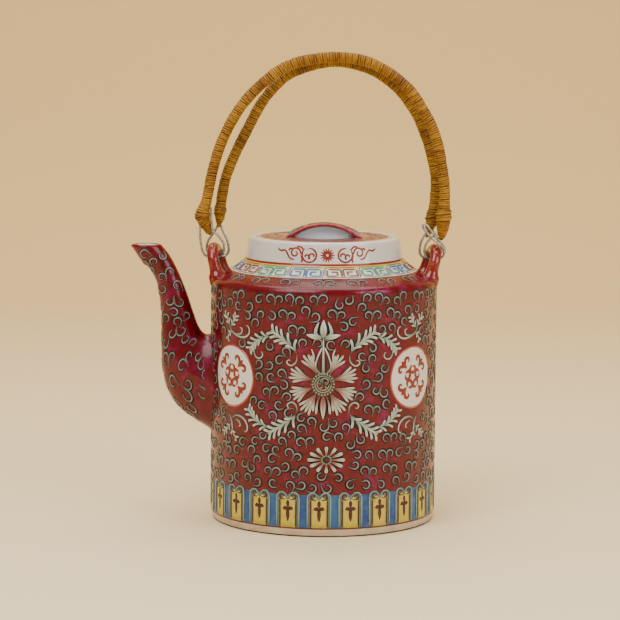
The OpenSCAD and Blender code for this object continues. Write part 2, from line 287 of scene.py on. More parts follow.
# Crimson: brush-mottled between maroon, crimson and rose, with a fine grain of thin spots
def crimsonPaint(tree, deep=(0.040, 0.0004, 0.001), mid=(0.124, 0.0003, 0.004), rose=(0.205, 0.001, 0.052)):
    wide = addRamp(tree, clouds(tree, 120.0, 5.0, 0.64, 0.6), [(0.30, deep), (0.43, mid), (0.53, mid),
                                                               (0.66, rose)])
    fine = addRamp(tree, clouds(tree, 620.0, 2.0), [(0.35, (0.72, 0.7, 0.7)), (0.65, (1.12, 1.1, 1.1))])
    return addMix(tree, 0.75, wide, fine, "MULTIPLY")


def tintedPaint(colour, other, scale=120.0):
    return lambda tree: addRamp(tree, clouds(tree, scale, 4.0), [(0.3, colour), (0.7, other)])


# Enamel drawn as strokes: a dark edge line, and a body colour that changes along the stroke
def strokePaint(edge, stops, line=0.62, streak=None):
    def paint(tree):
        body = addRamp(tree, field(tree, "along"), stops)
        toned = addRamp(tree, field(tree, "tone"), [(0, (0.72, 0.74, 0.72)), (1, (1.1, 1.08, 1.06))])
        body = addMix(tree, 0.6, body, toned, "MULTIPLY")
        side = addMath(tree, "ABSOLUTE", field(tree, "across"))
        if streak:
            vein = addRamp(tree, side, [(0.0, streak), (0.16, streak), (0.3, (1, 1, 1))])
            body = addMix(tree, 0.8, body, vein, "MULTIPLY")
        outline = addRamp(tree, side, [(line, (0, 0, 0)), (min(line + 0.12, 1), (1, 1, 1))])
        return addMix(tree, outline, body, edge)
    return paint


# White, with a red line round the rim
def medallionPaint(tree):
    white = addRamp(tree, clouds(tree, 60.0), [(0.3, (0.62, 0.60, 0.56)), (0.7, (0.70, 0.68, 0.64))])
    rimLine = addRamp(tree, field(tree, "across"), [(0.93, (0, 0, 0)), (0.95, (1, 1, 1))])
    return addMix(tree, rimLine, white, (0.42, 0.035, 0.02))


inkDark = (0.008, 0.006, 0.007)
finish = {
    "crimson": glaze("crimsonGlaze", crimsonPaint, 0.22, 0.15),
    "lugCrimson": glaze("lugGlaze", lambda t: crimsonPaint(t, (0.10, 0.003, 0.003), (0.22, 0.010, 0.006),
                                                           (0.36, 0.05, 0.022)), 0.16, 0.6),
    "lidCrimson": glaze("lidGlaze", lambda t: crimsonPaint(t, (0.14, 0.008, 0.014), (0.25, 0.015, 0.026),
                                                           (0.36, 0.045, 0.075))),
    "white": glaze("whiteGlaze", tintedPaint((0.60, 0.57, 0.53), (0.68, 0.66, 0.62), 60.0), 0.2, 0.7, 0.06),
    "foot": glaze("footGlaze", tintedPaint((0.50, 0.36, 0.25), (0.60, 0.50, 0.38), 150.0), 0.3, 0.3, 0.1),
    # Painted contact shadow: the bottom ring of the foot is painted near black, standing for the shadow where
    # the pot meets the table; it is rough and has no coat
    "paintedContactShadow": glaze("contactShadowRing", tintedPaint((0.05, 0.03, 0.015), (0.12, 0.08, 0.045), 300.0), 0.8, 0.0,
                      0.3, 900.0),
    "well": glaze("paleBlueGlaze", tintedPaint((0.50, 0.55, 0.57), (0.62, 0.66, 0.67), 70.0), 0.14, 0.8,
                  0.05),
    "footLine": glaze("darkRedLine", tintedPaint((0.055, 0.003, 0.005), (0.11, 0.008, 0.008), 300.0)),
    "ironRed": glaze("ironRed", tintedPaint((0.20, 0.012, 0.003), (0.28, 0.02, 0.006), 400.0), 0.3, 0.4),
    "blue": glaze("lappetBlue", tintedPaint((0.010, 0.032, 0.19), (0.035, 0.12, 0.27), 160.0)),
    "fretGround": glaze("fretGround", tintedPaint((0.44, 0.52, 0.42), (0.60, 0.60, 0.44), 120.0)),
    "yellow": glaze("lappetYellow", tintedPaint((0.50, 0.38, 0.035), (0.60, 0.48, 0.06), 260.0)),
    "curl": glaze("curlEnamel",
                  strokePaint(inkDark, [(0.0, (0.13, 0.13, 0.12)), (0.45, (0.27, 0.28, 0.255)),
                                        (0.86, (0.19, 0.19, 0.175)), (0.93, (0.04, 0.015, 0.02))], 0.2),
                  0.4, 0.0),
    "petal": glaze("petalEnamel",
                   strokePaint(inkDark, [(0.0, (0.16, 0.04, 0.035)), (0.35, (0.32, 0.16, 0.12)),
                                         (0.55, (0.42, 0.36, 0.29)), (0.75, (0.56, 0.57, 0.49))], 0.42,
                               (0.7, 0.45, 0.38)), 0.4, 0.1),
    "leaf": glaze("leafEnamel", strokePaint(inkDark, [(0.0, (0.14, 0.20, 0.16)), (0.35, (0.36, 0.40, 0.34)),
                                                      (0.8, (0.64, 0.64, 0.58))], 0.42, (0.6, 0.7, 0.6)),
                  0.4, 0.1),
    "green": glaze("beadGreen", strokePaint((0.02, 0.045, 0.03),
                                            [(0.0, (0.10, 0.22, 0.13)), (1.0, (0.22, 0.36, 0.24))], 0.7),
                   0.3, 0.5),
    "shade": glaze("darkShade", tintedPaint((0.006, 0.008, 0.006), (0.02, 0.014, 0.012), 300.0), 0.4, 0.0),
    "maroon": glaze("maroonEnamel", strokePaint((0.03, 0.008, 0.01), [(0.0, (0.055, 0.008, 0.012)),
                                                                      (1.0, (0.10, 0.014, 0.02))], 0.5)),
    "turquoise": glaze("turquoiseEnamel", strokePaint((0.012, 0.02, 0.022),
                                                      [(0.0, (0.12, 0.30, 0.28)), (0.5, (0.20, 0.44, 0.38)),
                                                       (1.0, (0.12, 0.30, 0.28))], 0.5)),
    "plate": glaze("lappetBorder", tintedPaint((0.10, 0.12, 0.09), (0.18, 0.17, 0.12), 400.0)),
    "fretRed": glaze("fretRed", strokePaint((0.06, 0.01, 0.01), [(0.0, (0.20, 0.018, 0.018)),
                                                                 (1.0, (0.27, 0.04, 0.035))], 0.6)),
    "fretGreen": glaze("fretGreen", strokePaint((0.01, 0.06, 0.04), [(0.0, (0.035, 0.17, 0.12)),
                                                                     (1.0, (0.08, 0.27, 0.19))], 0.6)),
    "fretBlue": glaze("fretBlue", strokePaint((0.012, 0.03, 0.12), [(0.0, (0.030, 0.08, 0.24)),
                                                                    (1.0, (0.06, 0.14, 0.30))], 0.6)),
    "medallion": glaze("medallionWhite", medallionPaint, 0.2, 0.7, 0.06),
}


# Split cane: a tone for each turn, a darker edge where turns meet, and fine fibres along the strip
def canePaint(light, mid, dark):
    made, tree, shader = newMaterial("splitCane")
    turnTone = addRamp(tree, field(tree, "tone"), [(0.1, dark), (0.5, mid), (0.9, light)])
    edge = addRamp(tree, addMath(tree, "ABSOLUTE", field(tree, "across")),
                   [(0.45, (1, 1, 1)), (0.95, (0.30, 0.22, 0.12))])
    paint = addMix(tree, 1.0, turnTone, edge, "MULTIPLY")
    grain = addMath(tree, "MULTIPLY_ADD", clouds(tree, 420.0), 14.0,
                    addMath(tree, "MULTIPLY", field(tree, "across"), 26.0))
    fibre = addMath(tree, "SINE", grain)
    fibreTone = addRamp(tree, addMath(tree, "MULTIPLY_ADD", fibre, 0.5, 0.5),
                        [(0.0, (0.55, 0.5, 0.42)), (1.0, (1.15, 1.12, 1.05))])
    paint = addMix(tree, 0.28, paint, fibreTone, "MULTIPLY")
    setSockets(tree, shader, {"Base Color": paint, "Roughness": 0.52, "Specular IOR Level": 0.4})
    addBump(tree, shader, 0.5, 0.00012, fibre)
    return made


finish["cane"] = canePaint((0.55, 0.275, 0.004), (0.38, 0.160, 0.001), (0.22, 0.080, 0.001))
finish["rearCane"] = canePaint((0.50, 0.26, 0.008), (0.36, 0.160, 0.003), (0.21, 0.082, 0.001))


# Galvanised wire: dull bright metal, spangled and a little stained
def wirePaint():
    made, tree, shader = newMaterial("galvanisedWire")
    spangle = addRamp(tree, clouds(tree, 700.0, 4.0), [(0.35, (0.26, 0.24, 0.22)),
                                                       (0.65, (0.52, 0.50, 0.46))])
    uneven = addRamp(tree, clouds(tree, 1200.0), [(0.3, (0.28,) * 3), (0.7, (0.5,) * 3)])
    setSockets(tree, shader, {"Base Color": spangle, "Roughness": uneven, "Metallic": 1.0})
    addBump(tree, shader, 0.3, 0.0001, clouds(tree, 1500.0))
    return made


finish["wire"] = wirePaint()
print("finishes mixed")

# The table and the wall behind, in metres
sweep = {"front": -1.6, "back": 0.9, "bend": 0.5, "height": 2.4, "half": 3.0}


# A sheet: level floor, a quarter turn, then straight up, the same all across
def studioSweep():
    flat = np.array([[sweep["front"], 0.0], [sweep["back"], 0.0]])
    a = np.radians(np.linspace(0, 90, 24))[1:]
    curve = np.stack([sweep["back"] + sweep["bend"] * np.sin(a), sweep["bend"] * (1 - np.cos(a))], 1)
    line = np.vstack([flat, curve, [[sweep["back"] + sweep["bend"], sweep["height"]]]])
    x = np.array([-sweep["half"], sweep["half"]])
    points = np.stack([x[None, :] + 0 * line[:, :1], line[:, :1] + 0 * x, line[:, 1:] + 0 * x],
                      -1).reshape(-1, 3)
    mesh = bpy.data.meshes.new("studioSweep")
    mesh.from_pydata(points, [], gridFaces(len(line), 2))
    mesh.polygons.foreach_set("use_smooth", np.ones(len(mesh.polygons), bool))
    made, tree, shader = newMaterial("warmPaperPaintedShade")
    back = addNode(tree, "SeparateXYZ", {"Vector": addNode(tree, "TexCoord").outputs["Object"]}).outputs["Y"]
    share = addNode(tree, "MapRange", {"Value": back, "From Min": -0.4, "From Max": 1.3}).outputs["Result"]
    # Painted shade: the paper is painted lightest at the front of the floor and darker and deeper in colour
    # towards and up the wall, standing for the lamps' light falling off
    paperWithPaintedShade = addRamp(tree, share, [(0.0, (0.87, 0.73, 0.47)), (1.0, (0.70, 0.47, 0.17))])
    setSockets(tree, shader, {"Base Color": paperWithPaintedShade, "Roughness": 0.8})
    mesh.materials.append(made)
    sheet = bpy.data.objects.new("studioSweep", mesh)
    putInScene(sheet)


studioSweep()

# The pot in mm: heights and radii where one glaze gives way to the next, and how finely it is cut up
pot = {"sides": 288, "faceLength": 2.2, "shoulderMid": (48.72, 133.8), "contactShadowTop": 0.82, "footTop": 4.2,
       "lineTop": 4.9,
       "bandTop": 22.2, "fretOut": 50.0, "yellowOut": 49.3, "yellowLow": 137.9, "fretTop": 139.0,
       "ringTop": 140.1}
outerLine = np.vstack([arcLine(58.2, 0.8, 0.8, -90, 0, 4), [[59.6, 2.6], [60, 4.0]],
                       [[60, 4.2], [60, 4.9], [60, 14], [60, 22.2], [60, 60], [60, 100], [60, 125.5]],
                       arcLine(56, 126, 4, 0, 64, 12),
                       smoothLine([[57.75, 129.6], [53.3, 131.65], pot["shoulderMid"], [45.2, 136.2],
                                   [42.35, 139.0]], 5)[1:], [[42, 139.5], [41.9, 140.1], [41.2, 144.6]],
                       arcLine(39.0, 149.4, 1.6, 0, 90, 10)])
galleryLine = np.vstack([arcLine(36.8, 150.1, 0.9, 90, 180, 7), [[35.9, 146.9], [35.6, 146.4],
                                                                 [32.2, 146.4], [31.9, 146.1],
                                                                 [31.9, 143.0], [36.7, 139.2]]])
insideLine = np.vstack([[[46.5, 129.9]], arcLine(51.5, 121.5, 4, 64, 0, 6), [[55.5, 80], [55.5, 14.5]],
                        arcLine(49.5, 14.5, 6, 0, -90, 8), [[25, 8.5], [0, 8.5]]])
underLine = np.array([[0, 3.5], [30, 3.5], [52.0, 3.5], [52.5, 3.2], [53.5, 0.4], [53.8, 0.0]])


# Length along a profile, so that the flat wall keeps its own height as the length
def lineLength(line):
    return np.r_[0, np.cumsum(np.linalg.norm(np.diff(line, axis=0), axis=1))]


# A profile with its long stretches cut up, so that faces stay near square, and the length along it
def cutUp(profile, longest):
    far = lineLength(profile)
    stretches = [np.linspace(a, b, max(2, int((b - a) / longest) + 1)) for a, b in zip(far[:-1], far[1:])
                 if b > a]
    fine = np.unique(np.concatenate(stretches).round(6))
    return np.stack([np.interp(fine, far, profile[:, k]) for k in (0, 1)], 1), fine


outerFar = lineLength(outerLine)
outerFar += pot["footTop"] - outerFar[np.argmax(outerLine[:, 1] == pot["footTop"])]


# A place on the pot's outside: angle from the front, length up the profile, and lift along its normal
def onPot(angle, far, lift):
    r, z = np.interp(far, outerFar, outerLine[:, 0]), np.interp(far, outerFar, outerLine[:, 1])
    rb, zb = np.interp(far - 0.4, outerFar, outerLine[:, 0]), np.interp(far - 0.4, outerFar, outerLine[:, 1])
    rf, zf = np.interp(far + 0.4, outerFar, outerLine[:, 0]), np.interp(far + 0.4, outerFar, outerLine[:, 1])
    size = np.hypot(rf - rb, zf - zb) + 1e-9
    r, z = r + lift * (zf - zb) / size, z - lift * (rf - rb) / size
    return np.stack([r * np.sin(angle), -r * np.cos(angle), z], -1)


def farAt(height):
    return float(np.interp(height, outerLine[:, 1], outerFar))


def makePotBody():
    profile = np.vstack([underLine, outerLine, galleryLine, insideLine])
    profile = profile[np.r_[True, np.diff(lineLength(profile)) > 1e-6]]
    profile, gap = cutUp(profile, pot["faceLength"])
    r, z = ((profile[:-1] + profile[1:]) / 2).T
    far = (gap[:-1] + gap[1:]) / 2
    outStart = lineLength(underLine)[-1] + np.linalg.norm(outerLine[0] - underLine[-1])
    outside = (far > outStart) & (far - outStart + outerFar[0] < outerFar[-1])
    glazes = ("white", "foot", "footLine", "blue", "crimson", "fretGround", "ironRed", "paintedContactShadow", "yellow")
    row = {name: k for k, name in enumerate(glazes)}
    onShoulder = outside & (z > pot["bandTop"]) & (r <= pot["fretOut"]) & (z < pot["fretTop"])
    kind = np.full(len(r), row["white"])
    kind[outside & (z < pot["footTop"])] = row["foot"]
    kind[outside & (z > pot["footTop"]) & (z < pot["lineTop"])] = row["footLine"]
    kind[outside & (z > pot["lineTop"]) & (z < pot["bandTop"])] = row["blue"]
    kind[outside & (z > pot["bandTop"]) & (r > pot["fretOut"])] = row["crimson"]
    kind[onShoulder] = row["fretGround"]
    kind[outside & (z > pot["fretTop"]) & (z < pot["ringTop"])] = row["ironRed"]
    kind[onShoulder & ((z > pot["yellowLow"]) | (r > pot["yellowOut"]))] = row["yellow"]
    # Faces below this height are painted near black: a painted contact shadow along the bottom of the foot
    kind[z < pot["contactShadowTop"]] = row["paintedContactShadow"]
    points = turned(profile, pot["sides"])
    return addPiece("potBody", points, gridFaces(len(profile), pot["sides"], wrapCols=True),
                    [finish[k] for k in glazes], "pot",
                    ["pot_body"], np.repeat(kind, pot["sides"]))


potBody = makePotBody()
strainer = {"height": 73.0, "pitch": 7.4, "hole": 2.2, "inner": -48, "outer": -64}
strainerTurns = np.radians(np.arange(0, 360, 60))
strainerSpots = [(0.0, 0.0)] + [(strainer["pitch"] * math.sin(a), strainer["pitch"] * math.cos(a))
                                for a in strainerTurns]
pierce(potBody, [[(x, y, strainer["height"] + z) for x in (strainer["inner"], strainer["outer"])] for y,
                 z in strainerSpots],
       strainer["hole"])

# How wide a stroke is along its length, as a share of its full width
strokeSteps = 14
strokeShare = np.linspace(0, 1, strokeSteps)
closeEnds = np.sqrt(np.clip(np.minimum(strokeShare, 1 - strokeShare) * 9, 0, 1))
widthShapes = {
    "even": closeEnds,
    "tear": (0.22 + 0.78 * strokeShare**1.5) * np.sqrt(1 - strokeShare**7) * (strokeShare > 0),
    "leaf": np.sin(math.pi * strokeShare**0.85) ** 0.8,
    "lobe": (0.62 + 0.38 * strokeShare) * np.sqrt(1 - strokeShare**9) * (strokeShare > 0),
    "thin": (0.35 + 0.65 * np.sin(math.pi * strokeShare)) * closeEnds,
    "hook": np.array([0, 0.5, 0.72, 0.88, 0.97, 1.0, 0.98, 0.94, 0.88, 0.8, 0.72, 0.7, 0.8, 0]),
    "tail": (1 - 0.75 * strokeShare) * closeEnds,
}


# Ribbons laid on a surface. Across, a ribbon is its line plus t half widths, t from -1 to 1, level in the
# middle and sloping into the glaze at its sides; a flat local line becomes an angle by its local radius
def ribbons(name, strokes, place, paint, body="pot", height=0.17, sink=0.04):
    paths, widths, centres, tones, lifts = (np.array(part) for part in zip(*strokes))
    along = np.gradient(paths, axis=1)
    along /= np.linalg.norm(along, axis=2, keepdims=True) + 1e-12
    side = np.stack([-along[..., 1], along[..., 0]], -1)
    t = np.array([-1, -0.5, 0.5, 1])
    flat = paths[:, :, None] + side[:, :, None] * (widths[:, :, None, None] / 2 * t[:, None])
    rise = np.where(np.abs(t) < 1, np.minimum(height, widths * 0.2)[..., None] + lifts[:, None, None], -sink)
    angle, far, radius = centres.T[:, :, None, None]
    points = place(angle + flat[..., 0] / radius, far + flat[..., 1], rise)
    one = gridFaces(strokeSteps, 4, wrapCols=True)
    faces = (one[None] + (np.arange(len(strokes)) * strokeSteps * 4)[:, None, None]).reshape(-1, 4)
    shape = points.shape[:3]
    fields = {"across": np.broadcast_to(t, shape),
              "along": np.broadcast_to(strokeShare[None, :, None], shape),
              "tone": np.broadcast_to(tones[:, None, None], shape)}
    return addPiece(name, points, faces, finish[paint], body, (), None, fields)


# One stroke: a smooth line through a few points, its width, where it is centred, a tone and a lift
def stroke(points, width, shape="even", centre=(0.0, 0.0, 60.0), tone=0.5, lift=0.0):
    return evenLine(smoothLine(points, 8), strokeSteps), widthShapes[shape] * width, centre, tone, lift


def mirrorStrokes(strokes):
    return [(s[0] * (-1, 1), *s[1:]) for s in strokes]


# The same strokes again at another side of the pot
def movedRound(strokes, angle):
    return [(s[0], s[1], (s[2][0] + angle, *s[2][1:]), *s[3:]) for s in strokes]


# Points along a ray: radii times the cosine and sine of its angle, the middle one swung by the bend
def rayPoints(radii, angle, bend=0.0, middle=(0.0, 0.0)):
    return [(middle[0] + r * math.cos(a), middle[1] + r * math.sin(a)) for r,
            a in zip(radii, (angle, angle + bend, angle))]


curl = {"size": 2.4, "width": 2.6}
hookAngles = np.radians(np.linspace(200, -112, strokeSteps - 2))
hookShare = np.linspace(0, 1, strokeSteps - 2)
hookRadius = 1 - 0.48 * np.clip((hookShare - 0.5) / 0.5, 0, 1) ** 1.2
hookRound = np.stack([hookRadius * np.cos(hookAngles), hookRadius * np.sin(hookAngles)], 1)
hookLines = {1: np.vstack([[-0.98, -1.0], [-1.04, -0.7], hookRound]),
             -1: np.vstack([[-0.66, -1.75], [-0.98, -1.05], hookRound])}


# A curl is the hook line, mirrored or not, turned and scaled about its own centre
def curlStroke(angle, far, radius, size, turnBy, side, width, tone):
    line = hookLines[side] * (side, 1)
    c, s = math.cos(turnBy), math.sin(turnBy)
    line = line @ np.array([[c, s], [-s, c]]) * size
    return line, widthShapes["hook"] * width, (angle, far, radius), tone, 0.0


# Curls over a stretch of surface: joined pairs on staggered rows, then single curls wherever a gap is left.
# radiusAt gives the local radius that turns an angle into a length; blocked points keep curls away
def spreadCurls(radiusAt, farRange, angleRange, blocked, size, width, seed, upright=0.6, singles=True):
    dice = np.random.default_rng(seed)
    centres, strokes = [], []
    blocked = np.asarray(blocked, float).reshape(-1, 3)
    low, high = farRange
    span = angleRange[1] - angleRange[0]
    whole = span > fullTurn - 0.01
    loose = upright < 0.95
    otherWays = [math.pi, math.pi / 2, -math.pi / 2]

    def apart(angle, far, others, least):
        if not len(others):
            return True
        others = np.asarray(others)
        swing = (angle - others[:, 0] + math.pi) % fullTurn - math.pi
        away = np.hypot(swing * radiusAt(far), far - others[:, 1])
        return bool(np.all(away > (least if least is not None else others[:, 2])))

    def inside(angle, far):
        edge = 0 if whole else size * 1.05 / radiusAt(far)
        return (low + size * 1.1 < far < high - size * 1.1
                and (whole or angleRange[0] + edge < angle < angleRange[1] - edge))

    rowCount = max(1, int((high - low - 2.2 * size) / (size * 3.25)) + 1)
    for row in range(rowCount):
        share = 0.5 if rowCount == 1 else row / (rowCount - 1)
        far = low + size * 1.25 + (high - low - size * 2.5) * share
        count = max(1, int(round(span * radiusAt(far) / (size * 6.3))))
        for k in range(count):
            angle = angleRange[0] + span * ((k + 0.5 * (row % 2)) / count + dice.uniform(-0.012, 0.012)
                                            * loose)
            here = far + dice.uniform(-0.25, 0.25) * size * (rowCount > 1)
            turnBy = 0.0 if dice.random() < upright else float(dice.choice(otherWays))
            turnBy += dice.uniform(-0.3, 0.3) * loose
            lesser = 1 if dice.random() < 0.7 else -1           # one of a pair is smaller and hangs lower
            c, s = math.cos(turnBy), math.sin(turnBy)
            spots = []
            for side in (-1, 1):
                drop = size * 0.3 * (side == lesser) * loose
                spots.append((angle + (c * size * side + s * drop) / radiusAt(here), here + s * size * side
                              - c * drop))
            if all(inside(*spot) and apart(*spot, centres, size * 2.4) and apart(*spot, blocked, None)
                   for spot in spots):
                for side, spot in zip((-1, 1), spots):
                    scale = 0.86 if side == lesser else 1.0
                    strokes.append(curlStroke(*spot, radiusAt(spot[1]), size * scale, turnBy, side, width,
                                              dice.random()))
                centres.extend(spots)
    tries = int(singles * span * radiusAt(sum(farRange) / 2) * (high - low) / 1.1)
    for angle, far in zip(angleRange[0] + span * dice.random(tries), low + (high - low) * dice.random(tries)):
        scale = dice.uniform(0.82, 1.0)
        if inside(angle, far) and apart(angle, far, centres, size * 2.3) and apart(angle, far, blocked, None):
            turnBy = float(dice.choice([0, 0, 1, 2, 3])) * math.pi / 2 + dice.uniform(-0.4, 0.4)
            side = 1 if dice.random() < 0.5 else -1
            strokes.append(curlStroke(angle, far, radiusAt(far), size * scale, turnBy, side, width,
                                      dice.random()))
            centres.append((angle, far))
    return strokes


# The large flower: its middle's height, and its petals' fingers, beads and rings (radius and width), in mm
flower = {"height": 80.0, "finger": 3.5, "beads": 22, "beadRays": (4.9, 5.5, 6.0),
          "rings": ((4.3, 0.8), (3.1, 0.7))}
petals, leaves, greens, maroons, petalBacks, leafBacks = [], [], [], [], [], []


# Lobed petal: fingers fan from one root, each a teardrop through a bend near the petal's own line
def lobedPetal(root, tips, bend, width, tone):
    bend = np.array(bend)
    made = []
    for k, tip in enumerate(tips):
        knee = 0.40 * root + 0.30 * tip + 0.30 * bend
        made.append(stroke([root, knee, tip], width, "tear", tone=tone, lift=0.02 * k))
    return made


# Leaf: a spine, with fingers that leave it forwards on both sides and shorten towards its tip. A dark stroke
# goes under it, into leafBacks
def fingerLeaf(spine, count, length, width, lean=0.6, tone=0.5, sides=(1, -1), start=0.1):
    line = evenLine(smoothLine(spine, 8), 60)
    made = []
    leafBacks.append(stroke(line[2::14], length * 1.15, "leaf", tone=0.4, lift=-0.1))
    for k in range(count):
        share = start + (0.86 - start) * k / max(count - 1, 1)
        at = int(share * 59)
        ahead = line[min(at + 2, 59)] - line[max(at - 2, 0)]
        ahead = ahead / np.linalg.norm(ahead)
        for side in sides:
            out = np.array([-ahead[1], ahead[0]]) * side
            reach = length * (0.7 + 0.45 * math.sin(math.pi * (0.15 + 0.8 * share)))
            tip = line[at] + (ahead * math.cos(lean) + out * math.sin(lean)) * reach
            knee = line[at] + (ahead * 0.88 + out * 0.30) * reach * 0.5
            made.append(stroke([line[at], knee, tip], width, "lobe", tone=tone, lift=0.10 - 0.012 * k))
    made.append(stroke([line[0], line[30], line[59] + (line[59] - line[54]) * 0.6], width * 0.9, "tear",
                       tone=tone, lift=0.12))
    return made


def bothSides(points, width, shape, tone=0.5, lift=0.0):
    one = [stroke(points, width, shape, tone=tone, lift=lift)]
    return one + mirrorStrokes(one)


# Each fan of a petal: its root, four points its tips lie along, and where its fingers bend towards
petalFans = [
    ((-2.9, 84.4), [(-11.4, 92.2), (-9.6, 94.6), (-7.0, 95.2), (-4.6, 92.0)], (-5.2, 90.2)),
    ((-4.6, 82.2), [(-14.6, 89.0), (-16.6, 86.8), (-17.4, 83.8), (-16.2, 80.9)], (-11.5, 83.4)),
    ((-4.8, 78.2), [(-16.6, 78.0), (-16.6, 75.4), (-15.4, 72.8), (-13.2, 70.6)], (-11.0, 76.6)),
    ((-3.3, 75.8), [(-12.4, 69.0), (-10.6, 66.4), (-8.0, 64.4), (-5.2, 65.8)], (-6.0, 71.6)),
]
for fan, (root, tips, bend) in enumerate(petalFans):
    root = np.array(root)
    tips = evenLine(smoothLine(tips, 8), 5)
    tips[1::2] += (tips[1::2] - root) * 0.08
    tips = tips[[0, 4, 2, 1, 3]]                                # the outer fingers lie lowest
    heart = np.mean(tips, axis=0) * 0.72 + root * 0.28
    made = lobedPetal(root, tips, bend, flower["finger"], 0.55 + 0.12 * fan)
    for k in (0, 1):
        vein = [root, root * 0.5 + heart * 0.5 + (0, 0.2 * k), heart * 0.9 + tips[k + 1] * 0.1]
        made.append(stroke(vein, 1.5, "even", tone=0.2 + 0.2 * k, lift=0.06))
    petals += made + mirrorStrokes(made)
    back = [stroke([root, heart * 0.6 + root * 0.4, heart * 1.03], 8.6, "tear", tone=0.3, lift=-0.1)]
    petalBacks += back + mirrorStrokes(back)
petals += [stroke([(0, 74.5), (0, 68.5), (0, 61.8)], 5.4, "leaf", tone=0.9, lift=0.05)]
petals += bothSides([(-1.2, 75), (-3.0, 70), (-3.6, 64.4)], 3.4, "tear", 0.8)
leaves += [stroke([(0, 84.8), (0, 92), (0, 104.5)], 3.2, "tail", tone=0.9, lift=0.05)]
leaves += bothSides([(-0.9, 84.8), (-3.9, 88.5), (-2.9, 94.0), (-0.4, 99.5)], 1.5, "even", 0.8)
maroons += bothSides([(-1.7, 86.0), (-2.5, 89.6), (-1.4, 94.6)], 2.0, "leaf", 0.5, 0.0)
flowerMiddle = (0.0, flower["height"])
for a in np.arange(flower["beads"]) / flower["beads"] * fullTurn:
    greens.append(stroke(rayPoints(flower["beadRays"], a, 0.02, flowerMiddle), 1.15, tone=0.9, lift=0.03))
ringLine = np.linspace(0, fullTurn * 1.02, strokeSteps)
for ringR, ringW in flower["rings"]:
    ring = np.stack([ringR * np.cos(ringLine), flower["height"] + ringR * np.sin(ringLine)], 1)
    greens.append((ring, widthShapes["even"] * ringW, (0.0, 0.0, 60.0), 0.6, 0.02))
for a in np.arange(5) / 5 * fullTurn + 0.3:
    greens.append(stroke(rayPoints((0.5, 1.6, 2.5), a, 0.25, flowerMiddle), 1.0, "tear", tone=1.0, lift=0.05))

# Lotus bud over the flower, on its stem
leaves += [stroke([(0, 103.6), (0, 108), (0, 113.2)], 6.6, "leaf", tone=1.0, lift=0.1)]
leaves += bothSides([(-0.8, 103.8), (-4.1, 106.6), (-2.4, 112.6)], 3.2, "leaf", 0.4, 0.03)
leaves += bothSides([(-0.4, 104.2), (-4.4, 104.6), (-8.8, 105.6)], 5.2, "leaf", 1.0, 0.05)
leaves += bothSides([(-2.8, 86.2), (-5.0, 90.4), (-5.0, 95.0), (-6.2, 98.4)], 2.0, "thin", 0.7, 0.02)
greens += bothSides([(-0.6, 103.4), (-3.8, 102.6), (-6.4, 103.4)], 1.1, "tail", 0.6)

# Small flower below
small = {"centre": (1.9, 40.7), "reach": (9.8, 7.0), "count": 12}
sx, sz = small["centre"]
for a in np.arange(small["count"]) / small["count"] * fullTurn + math.pi / 2:
    ex, ez = small["reach"][0] * math.cos(a), small["reach"][1] * math.sin(a)
    petals.append(stroke([(sx + ex * 0.2, sz + ez * 0.2), (sx + ex * 0.65, sz + ez * 0.65),
                          (sx + ex, sz + ez)], 4.9, "tear", tone=0.9, lift=0.02 * math.sin(5 * a)))
greens += [stroke([(sx + 1.9 * math.cos(a), sz + 1.7 * math.sin(a)), (sx + 2.3 * math.cos(a + 0.05),
                                                                      sz + 2.1 * math.sin(a + 0.05)),
                   (sx + 2.8 * math.cos(a), sz + 2.5 * math.sin(a))], 1.1, "even", tone=0.5, lift=0.08)
           for a in np.arange(12) / 12 * fullTurn]
maroons += [stroke([(sx - 1.6, sz), (sx, sz + 0.05), (sx + 1.6, sz)], 3.0, "leaf", tone=0.3, lift=0.09)]

